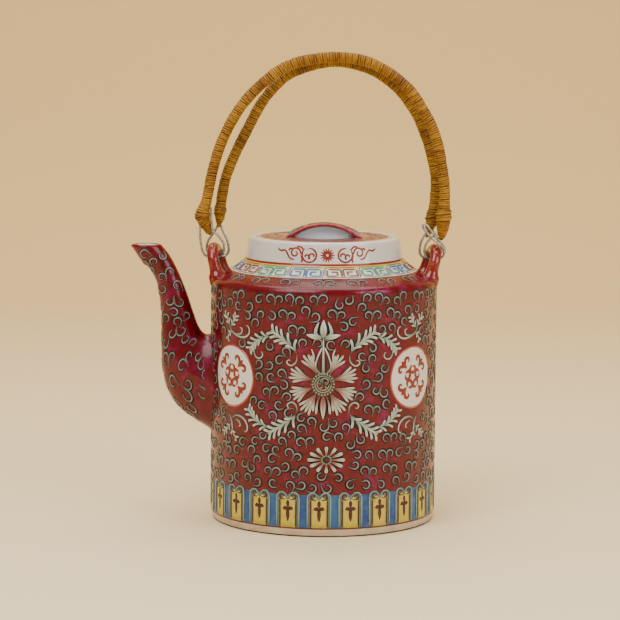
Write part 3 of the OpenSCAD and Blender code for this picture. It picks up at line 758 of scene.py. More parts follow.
# Sprays between the flower and the medallions, and the small ones past them
leftSprays = (
    fingerLeaf([(-13.6, 95.6), (-16.2, 99.4), (-20.4, 102.2), (-24.6, 104.8), (-27.4, 106.6)], 5, 6.2, 2.9)
    + [stroke([(-13.6, 95.6), (-13.9, 91.6), (-16.6, 89.3), (-19.0, 90.6), (-18.2, 92.3), (-17.0, 91.6)],
              1.5, "thin")]
    + fingerLeaf([(-28.0, 104.0), (-32.6, 103.0), (-37.2, 100.4), (-41.0, 96.4)], 5, 5.2, 2.6)
    + [stroke([(-36.6, 98.6), (-38.2, 95.4), (-36.6, 92.2), (-33.4, 92.6), (-32.9, 95.0), (-34.4, 95.4)],
              1.5, "thin")]
    + fingerLeaf([(-13.4, 64.6), (-16.4, 61.2), (-20.6, 58.6), (-25.0, 55.8), (-28.9, 53.4)], 5, 6.4, 2.9)
    + [stroke([(-13.4, 64.6), (-13.7, 68.4), (-16.2, 70.4), (-18.6, 69.0), (-17.8, 67.2), (-16.6, 67.8)],
              1.5, "thin")]
    + fingerLeaf([(-28.6, 56.4), (-33.2, 57.4), (-37.8, 60.2), (-41.9, 65.0)], 5, 5.4, 2.6)
    + [stroke([(-56.6, 110.4), (-56.0, 105.4), (-52.0, 103.0), (-46.4, 101.8), (-42.0, 103.6),
               (-41.6, 107.4), (-44.4, 108.4)], 2.0, "thin")]
    + [stroke([(-52.0, 103.4), (-47.6, 103.6), (-46.6, 106.2), (-48.6, 106.8)], 1.6, "thin")]
    + fingerLeaf([(-56.4, 107.0), (-58.6, 110.4), (-60.6, 112.0)], 3, 3.6, 2.4)
    + fingerLeaf([(-55.6, 106.4), (-53.4, 109.4), (-51.6, 112.2)], 3, 3.6, 2.4)
    + fingerLeaf([(-54.6, 104.4), (-57.0, 102.8), (-58.2, 100.8)], 2, 3.2, 2.4)
    + [stroke([(-57.0, 60.8), (-55.0, 57.4), (-54.0, 52.6), (-52.4, 49.4)], 2.2, "thin")]
    + [stroke([(-55.2, 58.4), (-50.4, 60.6), (-45.4, 59.4), (-42.6, 55.8), (-43.2, 52.6), (-45.4, 53.2)],
              2.0, "thin")]
    + [stroke([(-52.0, 58.8), (-48.6, 57.4), (-47.8, 55.4), (-49.4, 54.8)], 1.6, "thin")]
    + fingerLeaf([(-55.4, 55.6), (-58.8, 52.8), (-61.6, 50.6)], 3, 3.6, 2.4)
    + fingerLeaf([(-54.6, 53.6), (-53.6, 51.0), (-51.4, 49.0)], 2, 3.4, 2.4)
)
leaves += leftSprays + mirrorStrokes(leftSprays)
backs = leafBacks + mirrorStrokes(leafBacks) + petalBacks


for name, group, paint in (("flowerPetals", petals, "petal"), ("sprayLeaves", leaves, "leaf"),
                           ("flowerBeads", greens, "green"),
                           ("flowerShade", maroons, "maroon"), ("leafShade", backs, "shade")):
    ribbons(name, group + movedRound(group, math.pi), onPot, paint, height=0.2)

medallion = {"angles": (-52.4, 50.8, 128.0, 232.0), "height": 81.0, "radius": 16.5, "rings": 12, "sides": 72}
medallionAngles = [math.radians(a) for a in medallion["angles"]]


# A disc on the wall: rings out to the rim, which turns down into the glaze
def makeMedallions():
    share = np.r_[np.linspace(0, 1, medallion["rings"]), 1.0]
    lift = np.r_[np.full(medallion["rings"] - 1, 0.14), 0.08, -0.1]
    a = np.arange(medallion["sides"]) / medallion["sides"] * fullTurn
    x = medallion["radius"] * share[:, None] * np.cos(a)
    y = medallion["radius"] * share[:, None] * np.sin(a)
    top = [onPot(m + x / 60, medallion["height"] + y, lift[:, None] + 0 * a) for m in medallionAngles]
    back = [onPot(m + x[::-1] / 60, medallion["height"] + y[::-1], -0.1 + 0 * x) for m in medallionAngles]
    points = np.stack([np.concatenate([t, b]) for t, b in zip(top, back)])
    rows = points.shape[1]
    one = gridFaces(rows, medallion["sides"], wrapCols=True)
    faces = (one[None] + (np.arange(len(points)) * rows * medallion["sides"])[:, None, None]).reshape(-1, 4)
    across = np.broadcast_to(np.r_[share, share[::-1]][None, :, None], points.shape[:3])
    addPiece("medallions", points, faces, finish["medallion"], "pot", (), None,
             {"across": across})


makeMedallions()
# The blossom on each medallion: five notched petals, then four leaves with a hook on either side
blossom = []
for a in np.arange(5) / 5 * fullTurn + math.pi / 2:
    for side in (-0.5, 0.5):
        turns = ((1.5, 0), (4.6, side), (5.9, side * 0.35), (5.7, 0))
        blossom.append(stroke([(r * math.cos(a + b), r * math.sin(a + b)) for r, b in turns], 2.0, "thin"))
    blossom.append(stroke(rayPoints((1.8, 2.6, 3.7), a), 1.4, "thin"))
for a in np.arange(4) / 4 * fullTurn + math.pi / 4:
    c, s = math.cos(a), math.sin(a)
    for side in (-1, 1):
        hook = ((6.8, 0), (9.4, 0.8), (11.2, 3.0), (9.8, 4.8), (8.4, 3.9), (9.1, 2.9))
        blossom.append(stroke([(r * c - w * s * side, r * s + w * c * side) for r, w in hook], 2.1, "thin"))
    blossom.append(stroke(rayPoints((8.2, 10.6, 12.6), a), 2.8, "leaf"))
blossom = [(s[0], s[1], (0.0, medallion["height"], 60.0), s[3], 0.22) for s in blossom]
ribbons("medallionBlossoms", sum((movedRound(blossom, m) for m in medallionAngles), []), onPot, "ironRed",
        height=0.14, sink=-0.1)

lappet = {"count": 23, "first": math.radians(-1.6), "half": 6.0, "yellow": 3.85, "low": 4.9,
          "yellowTop": 20.3, "top": 23.5}
lappetAngles = [lappet["first"] + fullTurn * k / lappet["count"] for k in range(lappet["count"])]


# A flat plate on the wall: columns across, rows from the lower to the upper line, sides turned down
def wallPlates(name, xs, low, high, lift, paint, angles):
    rows = 7
    share = np.linspace(0, 1, rows)[:, None]
    x = np.r_[xs[0], xs, xs[-1]][None, :] + 0 * share
    lowLine, highLine = (np.broadcast_to(np.asarray(v, float), len(xs)) for v in (low, high))
    lowLine, highLine = np.r_[lowLine[0], lowLine, lowLine[-1]], np.r_[highLine[0], highLine, highLine[-1]]
    y = lowLine + (highLine - lowLine) * share
    rise = np.full(x.shape, lift)
    rise[:, [0, -1]] = -0.1
    x, y, rise = (np.vstack([v[:1], v, v[-1:]]) for v in (x, y, rise))
    rise[[0, -1]] = -0.1
    top = np.stack([onPot(a + x / 60, y, rise) for a in angles])
    under = np.stack([onPot(a + x / 60, y, -0.1 + 0 * x) for a in angles])[:, ::-1]
    points = np.concatenate([top, under], 1)
    rows, cols = points.shape[1:3]
    one = gridFaces(rows, cols, wrapRows=True)
    faces = (one[None] + (np.arange(len(angles)) * rows * cols)[:, None, None]).reshape(-1, 4)
    return addPiece(name, points, faces, finish[paint], "pot", ())


scallopX = np.linspace(-lappet["half"], lappet["half"], 25)
notch, corner = np.exp(-(scallopX / 1.1) ** 2), np.clip((np.abs(scallopX) - 4.2) / 1.8, 0, 1) ** 2.2
scallopTop = lappet["top"] - 0.4 - 1.9 * notch - 2.6 * corner
wallPlates("lappetPlates", scallopX, lappet["low"], scallopTop, 0.06, "plate", lappetAngles)
yellowX = np.linspace(-lappet["yellow"], lappet["yellow"], 9)
yellowTop = lappet["yellowTop"] - np.cos(yellowX / lappet["yellow"] * math.pi * 2)
wallPlates("lappetYellow", yellowX, lappet["low"] + 0.1, yellowTop, 0.12, "yellow", lappetAngles)
edgeStrokes, markStrokes, hookStrokes = [], [], []
for a in lappetAngles:
    here = (a, 0.0, 60.0)
    for side in (-1, 1):
        edgeStrokes.append(stroke([(side * 6.0, 5.1), (side * 6.0, 13), (side * 6.0, 20.4),
                                   (side * 5.1, 22.8), (side * 3.0, 23.5), (side * 1.1, 22.3),
                                   (side * 0.15, 20.3)], 1.1, "even", here, 0.6, 0.1))
        hookStrokes.append(stroke([(side * 4.35, 5.2), (side * 4.35, 12), (side * 4.4, 19.8)], 0.9, "even",
                                  here, 0.5, 0.1))
        hookStrokes.append(stroke([(side * 0.5, 20.0), (side * 2.4, 19.7), (side * 4.2, 20.4),
                                   (side * 3.9, 21.9), (side * 2.4, 22.1), (side * 2.0, 21.1),
                                   (side * 2.9, 20.9)], 1.05, "thin", here, 0.5, 0.14))
        markStrokes.append(stroke([(0, 14.6), (side * 1.4, 15.0), (side * 3.0, 14.7)], 2.7, "leaf", here,
                                  0.6, 0.12))
    markStrokes.append(stroke([(0, 15.4), (0, 12.5), (0, 10.5), (0, 7.9)], 2.5, "leaf", here, 0.5, 0.14))
    markStrokes.append(stroke([(0, 19.4), (0, 17.6), (0, 15.2)], 2.3, "leaf", here, 0.5, 0.14))
ribbons("lappetEdges", edgeStrokes, onPot, "turquoise")
ribbons("lappetHooks", hookStrokes, onPot, "maroon")
ribbons("lappetDrops", markStrokes, onPot, "maroon", height=0.24)

fret = {"count": 15, "first": math.radians(-35.9), "radius": 46.0, "low": farAt(133.4), "high": farAt(139.0)}
fretMid, fretHalf = (fret["low"] + fret["high"]) / 2, (fret["high"] - fret["low"]) / 2 - 0.9
fretWide = fullTurn * fret["radius"] / fret["count"] / 2 - 0.45
fretSets = {"fretRed": [], "fretBlue": [], "fretGreen": []}


# A square stroke: straight runs between corners, with points gathered at each corner
def squareStroke(corners, width, centre, tone, lift):
    line = np.vstack([np.linspace(a, b, 12)[:-1] for a, b in zip(corners[:-1], corners[1:])]
                     + [np.array(corners[-1:], float)])
    return evenLine(line, strokeSteps), widthShapes["even"] * width, centre, tone, lift


for k in range(fret["count"]):
    colour = ("fretGreen", "fretBlue", "fretRed")[k % 3]
    here = (fret["first"] + fullTurn * k / fret["count"], fretMid, fret["radius"])
    w, h = fretWide, fretHalf
    fretSets[colour].append(squareStroke([(-w, -h), (-w, h), (w, h)], 0.7, here, 0.2, 0.0))
    fretSets[colour].append(squareStroke([(-w, -h), (w, -h), (w, h)], 0.7, here, 0.2, 0.0))
    for side in (-1, 1):
        x0, x1, x2, x3 = 0.6 * side, (w - 1.2) * side, 2.7 * side, (w - 3.1) * side
        for corners in ([(x0, -h + 0.2), (x0, h - 1.3), (x1, h - 1.3)],
                        [(x1, h - 1.3), (x1, -h + 1.3), (x2, -h + 1.3)],
                        [(x2, -h + 1.3), (x2, h - 3.0), (x3, h - 3.0)]):
            fretSets[colour].append(squareStroke(corners, 1.25, here, 0.8, 0.03))
for colour, group in fretSets.items():
    ribbons(colour + "Blocks", group, onPot, colour, height=0.16)

# Points of a spiral about (cx, cy): the root of its radius and its angle both change evenly
def spiral(cx, cy, r0, r1, a0, a1):
    a = np.radians(np.linspace(a0, a1, 12))
    r = np.linspace(r0**0.5, r1**0.5, 12) ** 2
    return [(cx + p * math.cos(q), cy + p * math.sin(q)) for p, q in zip(r, a)]


# The collar's star, as angle, length up the profile and radius, with its rays
collarHere = (0.042, farAt(144.3) + 0.3, 41.4)
collarStrokes = [stroke(rayPoints((0.5, 2.0, 3.9), a), 1.05, "thin", collarHere) for a in np.arange(14) / 14
                 * fullTurn]
# Scrolls beside the star: wound rings joined by short stems, and a waved tail
scroll = [
    spiral(9.3, 0.1, 4.3, 3.3, 60, -300), spiral(7.9, -0.5, 2.0, 0.7, -60, 230),
          spiral(11.0, -0.9, 1.8, 0.5, -120, -400),
    [(13.2, 0.4)] + spiral(17.2, 0.9, 3.3, 0.8, 190, -300), [(13.4, -4.2), (13.2, -2.2), (13.8, 0.2)],
    [(17.2, -2.6), (20.0, -1.9), (21.6, 0.4), (23.2, 2.2), (25.4, 1.7), (27.0, 2.4), (27.9, 3.2)],
          [(12.6, 2.8), (14.4, 4.2), (16.4, 4.2)],
    [(18.8, 3.1), (20.2, 3.0), (20.9, 2.0)],
]
for line in scroll:
    for side in (1, -1):
        collarStrokes.append(stroke([(x * side, y) for x, y in line], 1.15, "even", collarHere))
ribbons("collarScrolls", collarStrokes + movedRound(collarStrokes, math.pi), onPot, "ironRed", height=0.12)
print("decoration drawn")

# Where the curls keep off: each row is an angle, a length up the profile and the distance to keep
keepOff = np.vstack([np.column_stack([s[0][:, 0] / 60, s[0][:, 1], np.full(strokeSteps, curl["size"] * 1.12)])
                     for s in petals + leaves])
keepOff = np.vstack([keepOff, keepOff + (math.pi, 0, 0)])
discs = np.array([(m, medallion["height"], medallion["radius"] + curl["size"] * 1.35)
                  for m in medallionAngles])
rootTurns = np.arange(24) / 24 * fullTurn
spoutRoot = np.array([(-math.pi / 2 + 0.22 * math.cos(a) * k, 72.5 + 24.5 * math.sin(a) * k, 4.2)
                      for a in rootTurns for k in (1, 0.6, 0.2)])
wallCurls = spreadCurls(lambda far: 60.0, (23.2, 126.8), (0, fullTurn),
                        np.vstack([keepOff, discs, spoutRoot]), curl["size"],
                        curl["width"], 5, upright=0.72)
ribbons("wallCurls", wallCurls, onPot, "curl", height=0.2)
lugFoot = np.array([(side * math.pi / 2 + dy / 57.5, farAt(131.0) + dz, 5.2) for side in (-1, 1)
                    for dy in (-9.8, 7.2) for dz in (-1, 2)])
shoulderCurls = spreadCurls(lambda far: float(np.interp(far, outerFar, outerLine[:, 0])),
                            (farAt(128.6), farAt(133.9)),
                            (0, fullTurn), lugFoot, 2.85, 1.9, 8, upright=1.0, singles=False)
ribbons("shoulderCurls", shoulderCurls, onPot, "curl", height=0.18)
print("curls spread")

# Each station of the spout: reach, rise, heading in degrees, half height and half width of its section
spout = {"reach": 43.5, "height": 146.0, "wall": 2.5, "rootR": 59.6, "rows": 120, "sides": 72, "flare": 1.5,
         "stations": [(-0.20, 0.480, 0, 25.5, 14.6), (0.02, 0.500, 6, 24.2, 14.0),
                      (0.245, 0.545, 28, 20.0, 12.6), (0.35, 0.605, 46, 14.9, 11.0),
                      (0.39, 0.670, 62, 11.0, 9.4), (0.415, 0.738, 80, 8.7, 8.0),
                      (0.465, 0.808, 78, 7.5, 7.0), (0.535, 0.877, 66, 6.5, 6.3),
                      (0.63, 0.932, 56, 6.5, 6.2), (0.73, 0.966, 51, 6.9, 6.5),
                      (0.905, 1.040, 54, 6.7, 6.6)]}
spoutCurve = smoothLine(spout["stations"], 24)
spoutTurns = np.arange(spout["sides"]) / spout["sides"] * fullTurn


# The spout's skin: at each station an oval square to its heading, thinner by the given amount
def spoutSkin(thinner, turns):
    reach, rise, heading, high, wide = spoutCurve.T[:, :, None]
    h, w = (high - thinner) * np.cos(turns), (wide - thinner) * np.sin(turns)
    tilt = np.radians(heading)
    return np.stack([-60.0 - reach * spout["reach"] + h * np.sin(tilt), w + 0 * h, rise * spout["height"]
                     + h * np.cos(tilt)], -1)


# Cut every line of the skin at the pot's wall and at the mouth's level, and share the rest out evenly
def trimmedSkin(thinner, topZ, rows, turns=spoutTurns):
    skin = spoutSkin(thinner, turns)
    steps = np.arange(len(skin))
    out = np.hypot(skin[..., 0], skin[..., 1])
    first = np.array([np.interp(spout["rootR"], out[:60, j], steps[:60]) for j in range(len(turns))])
    last = np.array([np.interp(topZ, skin[len(skin) // 2:, j, 2], steps[len(skin) // 2:])
                     for j in range(len(turns))])
    at = first + (last - first) * np.linspace(0, 1, rows)[:, None]
    low = np.clip(at.astype(int), 0, len(skin) - 2)
    share = (at - low)[..., None]
    j = np.arange(len(turns))[None, :]
    return skin[low, j] * (1 - share) + skin[low + 1, j] * share


def makeSpout():
    outside = trimmedSkin(0.0, spout["height"] - 0.9, spout["rows"])
    middle = outside.mean(1, keepdims=True)
    away = outside - middle
    away /= np.linalg.norm(away, axis=2, keepdims=True)
    gap = np.hypot(outside[..., 0], outside[..., 1]) - spout["rootR"]
    outside = outside + away * (spout["flare"] * np.exp(-np.maximum(gap, 0) / 2.2))[..., None]
    inside = trimmedSkin(spout["wall"], spout["height"] - 0.9, spout["rows"])[::-1]
    share = np.linspace(0, 1, 9)[1:-1, None, None]
    lip = outside[-1] * (1 - share) + inside[0] * share
    lip[..., 2] += 0.9 * np.sin(math.pi * share[..., 0]) ** 0.6
    points = np.concatenate([outside, lip, inside])
    faces = gridFaces(len(points), spout["sides"], wrapCols=True, wrapRows=True)
    rowKind = np.zeros(len(points), int)
    rowKind[spout["rows"] + 6:] = 1
    addPiece("spoutShell", points, faces, [finish["crimson"], finish["white"]], "pot", ["spout"],
             np.repeat(rowKind, spout["sides"]))


makeSpout()
spoutFine = spoutSkin(0.0, np.arange(96) / 96 * fullTurn)
spoutMiddle = spoutFine.mean(1)
spoutFar = lineLength(spoutMiddle)
spoutRound = np.sqrt(spoutCurve[:, 3] * spoutCurve[:, 4])


# A place on the spout: angle round it from its front side, length along it, and lift away from its middle
def onSpout(angle, far, lift):
    step = np.interp(far, spoutFar, np.arange(len(spoutFar)))
    part = [np.interp(step, np.arange(len(spoutCurve)), spoutCurve[:, k]) for k in range(5)]
    tilt = np.radians(part[2])
    h, w = (part[3] + lift) * np.sin(angle), -(part[4] + lift) * np.cos(angle)
    return np.stack([-60.0 - part[0] * spout["reach"] + h * np.sin(tilt), w, part[1] * spout["height"] + h
                     * np.cos(tilt)], -1)


spoutCurls = spreadCurls(lambda far: float(np.interp(far, spoutFar, spoutRound)),
                         (spoutFar[20], spoutFar[-14]),
                         (0, fullTurn), [], 2.4, 2.0, 21, upright=0.3)
kept = []
for s in spoutCurls:
    where = onSpout(s[2][0] + s[0][:, 0] / s[2][2], s[2][1] + s[0][:, 1], 0 * s[0][:, 0])
    towardsPot = math.sin(s[2][0]) > 0.62                       # that side is left plain
    clearOfWall = np.hypot(where[:, 0], where[:, 1]).min() > 61.6
    if clearOfWall and where[:, 2].max() < spout["height"] - 1.6 and not towardsPot:
        kept.append(s)
ribbons("spoutCurls", kept, onSpout, "curl", height=0.18)
print("spout made")

lug = {"x": 56.8, "back": 2.0, "z": 136.0, "arch": 8.2, "tube": 3.05, "leg": 9.5, "lean": 15.0, "turn": 10.0}


# Each lug: a rod up one leg, over the arch and down the other, thicker towards both feet
def makeLug(side, name, node):
    a = np.radians(np.linspace(0, 180, 41))
    r, leg = lug["arch"], lug["leg"]
    flat = np.vstack([np.column_stack([np.full(9, r), np.linspace(-leg, 0, 10)[:-1]]),
                      np.column_stack([r * np.cos(a), r * np.sin(a)]),
                      np.column_stack([np.full(9, -r), np.linspace(0, -leg, 10)[1:]])])
    down = np.clip(-flat[:, 1], 0, None)
    radius = lug["tube"] + 0.04 * down + 1.5 * np.exp((down - 5.6) / 1.2) * (down < 5.6) + 1.5 * (down >= 5.6)
    lean, spin = math.radians(90 - lug["lean"]), math.radians(lug["turn"] - 90)
    x, y, z = flat[:, 0], flat[:, 1] * math.cos(lean), flat[:, 1] * math.sin(lean)
    line = np.column_stack([x * math.cos(spin) - y * math.sin(spin), x * math.sin(spin) + y
                            * math.cos(spin), z])
    line += (lug["x"], lug["back"], lug["z"])
    line[:, 0] *= side
    points = rodShape(line, radius, 40, (side * 1.0, 0, 0.2))
    addPiece(name, points, gridFaces(len(points), 40, wrapCols=True), finish["lugCrimson"], "pot", [node])


makeLug(-1, "leftLug", "left_lug")
makeLug(1, "rightLug", "right_lug")

# The lid in mm: its well is a cap of a ball; the steam hole has a distance from the middle and a radius
lid = {"top": 150.8, "wellR": 15.5, "ball": 23.02, "ballZ": 167.82, "sides": 216, "faceLength": 1.6,
       "steam": (22.0, 1.2)}


def makeLid():
    wellEdge = -91.2 + math.degrees(math.asin(lid["wellR"] / lid["ball"]))
    well = arcLine(0, lid["ballZ"], lid["ball"], -90, wellEdge, 14)[::-1]
    profile = np.vstack([
        [[0, 141.4], [12.5, 141.4], [18.5, 146.0], [18.9, 146.4], [28.0, 146.4], [28.3, 146.1], [28.3, 135.0]],
        [[28.6, 134.5]], arcLine(30.3, 135.4, 1.0, -90, 0, 6),
        [[31.3, 146.2], [31.5, 146.4], [35.1, 146.4], [35.3, 146.6]], arcLine(34.3, 149.8, 1.0, 0, 90, 8),
        [[30, 150.8], [22, 150.8], [16.6, 150.8], [15.9, 150.6]], well])
    profile = cutUp(profile, lid["faceLength"])[0]
    r, z = ((profile[:-1] + profile[1:]) / 2).T
    glazes = ("white", "lidCrimson", "well")
    kind = np.where((z > 150.0) & (r > 16.0) & (r < 34.6), glazes.index("lidCrimson"), glazes.index("white"))
    kind[(r < 16.0) & (z > 144.0)] = glazes.index("well")
    faces = gridFaces(len(profile), lid["sides"], wrapCols=True)
    return addPiece("lidPlate", turned(profile, lid["sides"]), faces, [finish[k] for k in glazes], "lid",
                    ["lid_plate"], np.repeat(kind, lid["sides"]))


lidPlate = makeLid()
steamAt, steamRadius = lid["steam"]
pierce(lidPlate, [((0, steamAt, 140.0), (0, steamAt, 156.0))], steamRadius)


def onLid(angle, far, lift):
    return np.stack([far * np.sin(angle), -far * np.cos(angle), lid["top"] + lift], -1)


# The strap over the well: half length, rise and radius outside and in the gap, half width, waist and web
strap = {"half": 21.0, "rise": 7.2, "outer": 34.225, "gapHalf": 15.5, "gapRise": 5.3, "gap": 25.32,
         "wide": 5.5, "waist": 51.0, "web": 1.5,
         "sides": 32}


def strapTop(x):
    return lid["top"] + strap["rise"] - strap["outer"] + np.sqrt(strap["outer"] ** 2 - x**2)


def strapUnder(x):
    return lid["top"] + strap["gapRise"] - strap["gap"] + np.sqrt(np.maximum(strap["gap"] ** 2 - x**2, 0))


def strapHalf(x):
    return strap["wide"] + strap["waist"] - np.sqrt(strap["waist"] ** 2 - x**2)


# A bar along x: rounded oblongs between a lower and an upper line, closed to a point at both ends. The
# oblong is the cosine and sine of each turn, raised to powers below one that square its corners
def barShape(x, low, high, half, squareness):
    a = np.arange(strap["sides"]) / strap["sides"] * fullTurn
    across, up = (np.sign(v) * np.abs(v) ** power for v, power in zip((np.cos(a), np.sin(a)), squareness))
    points = np.stack([x[:, None] + 0 * a, half(x[:, None], up) * across, ((high + low) / 2)[:, None]
                       + ((high - low) / 2)[:, None] * up], -1)
    ends = np.stack([np.broadcast_to(points[k].mean(0), points[0].shape) for k in (0, -1)])
    return np.concatenate([ends[:1], points, ends[1:]])


# The strap itself, and the thin web that stands under it in the well
def makeStrap():
    x = np.sin(np.linspace(-math.pi / 2, math.pi / 2, 73)) * strap["half"]
    low = np.maximum(strapUnder(x), lid["top"] - 0.6)
    points = barShape(x, low, strapTop(x), lambda x, up: strapHalf(x), (0.35, 0.6))
    faces = gridFaces(len(points), strap["sides"], wrapCols=True)
    addPiece("lidStrap", points, faces, finish["lidCrimson"], "lid", ["lid_bridge"])
    x = np.linspace(-strap["gapHalf"] - 0.2, strap["gapHalf"] + 0.2, 49)
    low = lid["ballZ"] - np.sqrt(lid["ball"] ** 2 - x**2) - 0.5
    points = barShape(x, low, strapUnder(x) + 0.5, lambda x, up: strap["web"] * (1 + 1.2 * np.abs(up) ** 6)
                      + 0 * x, (0.5, 0.5))
    faces = gridFaces(len(points), strap["sides"], wrapCols=True)
    addPiece("lidWeb", points, faces, finish["well"], "lid", ())


makeStrap()


# A place on the strap's top: angle times ten is the way across, far is the way along it
def onStrap(angle, far, lift):
    across = angle * 10.0
    sag = 0.32 * (np.abs(across) / strapHalf(far)) ** 4
    return np.stack([far, -across, strapTop(np.clip(far, -20.9, 20.9)) + lift - sag], -1)


strapCurls = spreadCurls(lambda far: 10.0, (-15.5, 15.5), (-0.56, 0.56), [], 2.1, 1.7, 31, upright=0.5)
ribbons("strapCurls", strapCurls, onStrap, "curl", "lid", 0.14)
footStrokes = []
for side in (-1, 1):
    for y, lean in ((-0.66, -0.5), (-0.34, -0.25), (0.0, 0.0), (0.34, 0.25), (0.66, 0.5)):
        rays = [(y * 6, 13.4 * side), (y * 8.4, 16.6 * side), (y * 10 + lean, 19.6 * side)]
        footStrokes.append(stroke(rays, 2.6, "tear", (0.0, 0.0, 10.0), 0.8))
ribbons("strapFeet", footStrokes, onStrap, "leaf", "lid", 0.18)
strapArea = np.array([(math.atan2(x, -y) % fullTurn, math.hypot(x, y), 3.0) for x in np.linspace(-21, 21, 29)
                      for y in (-9, -6.5, -3, 3, 6.5, 9) if math.hypot(x, y) > 14 and abs(y) <= strapHalf(x)])
steamArea = [(math.pi, steamAt, 3.2)]
lidCurls = spreadCurls(lambda far: far, (16.4, 34.2), (0, fullTurn), np.vstack([strapArea, steamArea]), 2.1,
                       1.6, 17, upright=0.4)
ribbons("lidCurls", lidCurls, onLid, "curl", "lid", 0.06)
print("lid made")

# The bails in mm: each line is given as shares of the lug's distance and of the rise over the hinge line
bail = {"lugX": 56.8, "axis": 136.0, "foot": 27.4, "rise": 109.6, "offset": 4.0, "back": 2.0, "wrap": 3.0,
        "strip": 1.25, "thick": 0.34,
        "front": [(-1.14, 0), (-1.10, 0.08), (-1.045, 0.27), (-0.955, 0.465), (-0.80, 0.665),
                  (-0.59, 0.827), (-0.33, 0.95), (0.04, 1.0), (0.41, 0.97), (0.74, 0.827), (0.93, 0.647),
                  (1.04, 0.48), (1.10, 0.28), (1.125, 0.12), (1.115, 0)],
        "rear": [(-0.985, -0.02), (-0.965, 0.09), (-0.925, 0.225), (-0.84, 0.373), (-0.72, 0.54),
                 (-0.57, 0.727), (-0.34, 0.887), (0.0, 0.965), (0.23, 0.96), (0.45, 0.913), (0.66, 0.813),
                 (0.83, 0.667), (0.94, 0.507), (1.015, 0.333), (1.045, 0.2), (1.035, 0.067),
                 (1.01, -0.033)]}
bailFace = {"front": -1, "rear": 1}


def bailLine(kind):
    line = [(x * bail["lugX"], bail["back"] + bailFace[kind] * bail["offset"], bail["axis"] + bail["foot"]
             + z * (bail["rise"] - bail["foot"]))
            for x, z in bail[kind]]
    return smoothLine(line, 12)


# A strip wound round a line: its middle runs round a slowly changing circle as it moves along, and its
# section is a low dome across the line; seeded waves make the turns uneven
def woundStrip(line, radius, pitch, strip, thick, seed, stepsPerTurn=14, wander=0.12):
    dice = np.random.default_rng(seed)
    far = lineLength(line)
    turns = far[-1] / pitch
    count = int(turns * stepsPerTurn)
    u = np.linspace(0, turns, count)
    phases = dice.uniform(0, fullTurn, 8)
    slip = sum(0.16 * np.sin(u * f + p) for f, p in zip((0.31, 0.57, 1.13, 2.17), phases))
    lump = sum(k * np.sin(u * f + p) for k, f, p in zip((0.5, 0.35, 0.3, 0.25), (0.43, 1.07, 2.61, 4.3),
                                                        phases[4:]))
    at = np.clip((u + slip * 0.6) * pitch, 0, far[-1])
    along, first, second = sideWays(line, (0, 1, 0))
    middle, along, first, second = (np.stack([np.interp(at, far, values[:, k]) for k in range(3)], 1)
                                    for values in (line, along, first, second))
    size = np.interp(at, far, np.broadcast_to(radius, len(line))) + wander * lump
    a = u * fullTurn
    out = np.cos(a)[:, None] * first + np.sin(a)[:, None] * second
    t = np.array([-1, -0.5, 0.5, 1, 0])
    rise = np.array([-0.25, 0.75, 0.75, -0.25, -1.0]) * thick
    ends = np.sqrt(np.clip(np.minimum(np.arange(count), count - 1 - np.arange(count)) / 6, 0, 1))
    points = (middle[:, None] + out[:, None] * (size[:, None] + rise * ends[:, None])[..., None]
              + along[:, None] * (t * strip / 2 * ends[:, None])[..., None])
    whole = np.floor(u + 0.5).astype(int)
    tones = dice.uniform(0, 1, whole.max() + 2)
    tone = 0.55 * tones[whole] + 0.45 * (0.5 + 0.5 * np.sin(u * 0.21 + phases[0])
                                         * np.sin(u * 0.05 + phases[1]))
    shape = points.shape[:2]
    return points, np.broadcast_to(t, shape), np.broadcast_to(tone[:, None], shape)


# Several wound strips and one core rod under them, as one piece
def addWinding(name, strips, core, paint, body, stands):
    parts, fields, faces, base = [], {"across": [], "tone": []}, [], 0
    for points, across, tone in strips:
        faces.append(gridFaces(len(points), 5, wrapCols=True) + base)
        parts.append(points.reshape(-1, 3))
        fields["across"].append(across.ravel())
        fields["tone"].append(tone.ravel())
        base += len(parts[-1])
    faces.append(gridFaces(len(core), core.shape[1], wrapCols=True) + base)
    parts.append(core.reshape(-1, 3))
    fields["across"].append(np.full(core.shape[0] * core.shape[1], 0.95))
    fields["tone"].append(np.full(core.shape[0] * core.shape[1], 0.1))
    return addPiece(name, np.vstack(parts), np.vstack(faces), finish[paint], body, stands, None,
                    {k: np.concatenate(v) for k, v in fields.items()})


for kind, paint, seed in (("front", "cane", 3), ("rear", "rearCane", 4)):
    line = bailLine(kind)
    strips = [woundStrip(line, bail["wrap"] - bail["thick"], 1.12, bail["strip"], bail["thick"], seed)]
    core = rodShape(line, bail["wrap"] - 0.75, 16)
    addWinding(kind + "Winding", strips, core, paint, kind + "_bail", [kind + "_wrap"])
print("bails wound")

# Each knot: its name, bail, end, side, swell, tail's tip and radius, and the node it stands for
knot = {"pitch": 1.05, "strip": 1.3, "thick": 0.42}
knots = [("frontLeftKnot", "front", 0, -1, 1.5, (4.8, 4, 17.4), 2.4, "front_left_binding"),
         ("frontRightKnot", "front", -1, 1, 1.5, (5.8, 4, 16.4), 2.9, "front_right_binding"),
         ("rearLeftKnot", "rear", 0, -1, 0.7, (-0.4, 4, 19.8), 1.6, "rear_left_binding"),
         ("rearRightKnot", "rear", -1, 1, 0.8, (-1.4, 4, 15.6), 1.8, "rear_right_binding")]


# A place near a lug: outwards from it, away from the hinge plane, and up from the hinge line
def atLug(p, side, face):
    return np.array([side * (bail["lugX"] + p[0]), bail["back"] + face * p[1], bail["axis"] + p[2]])


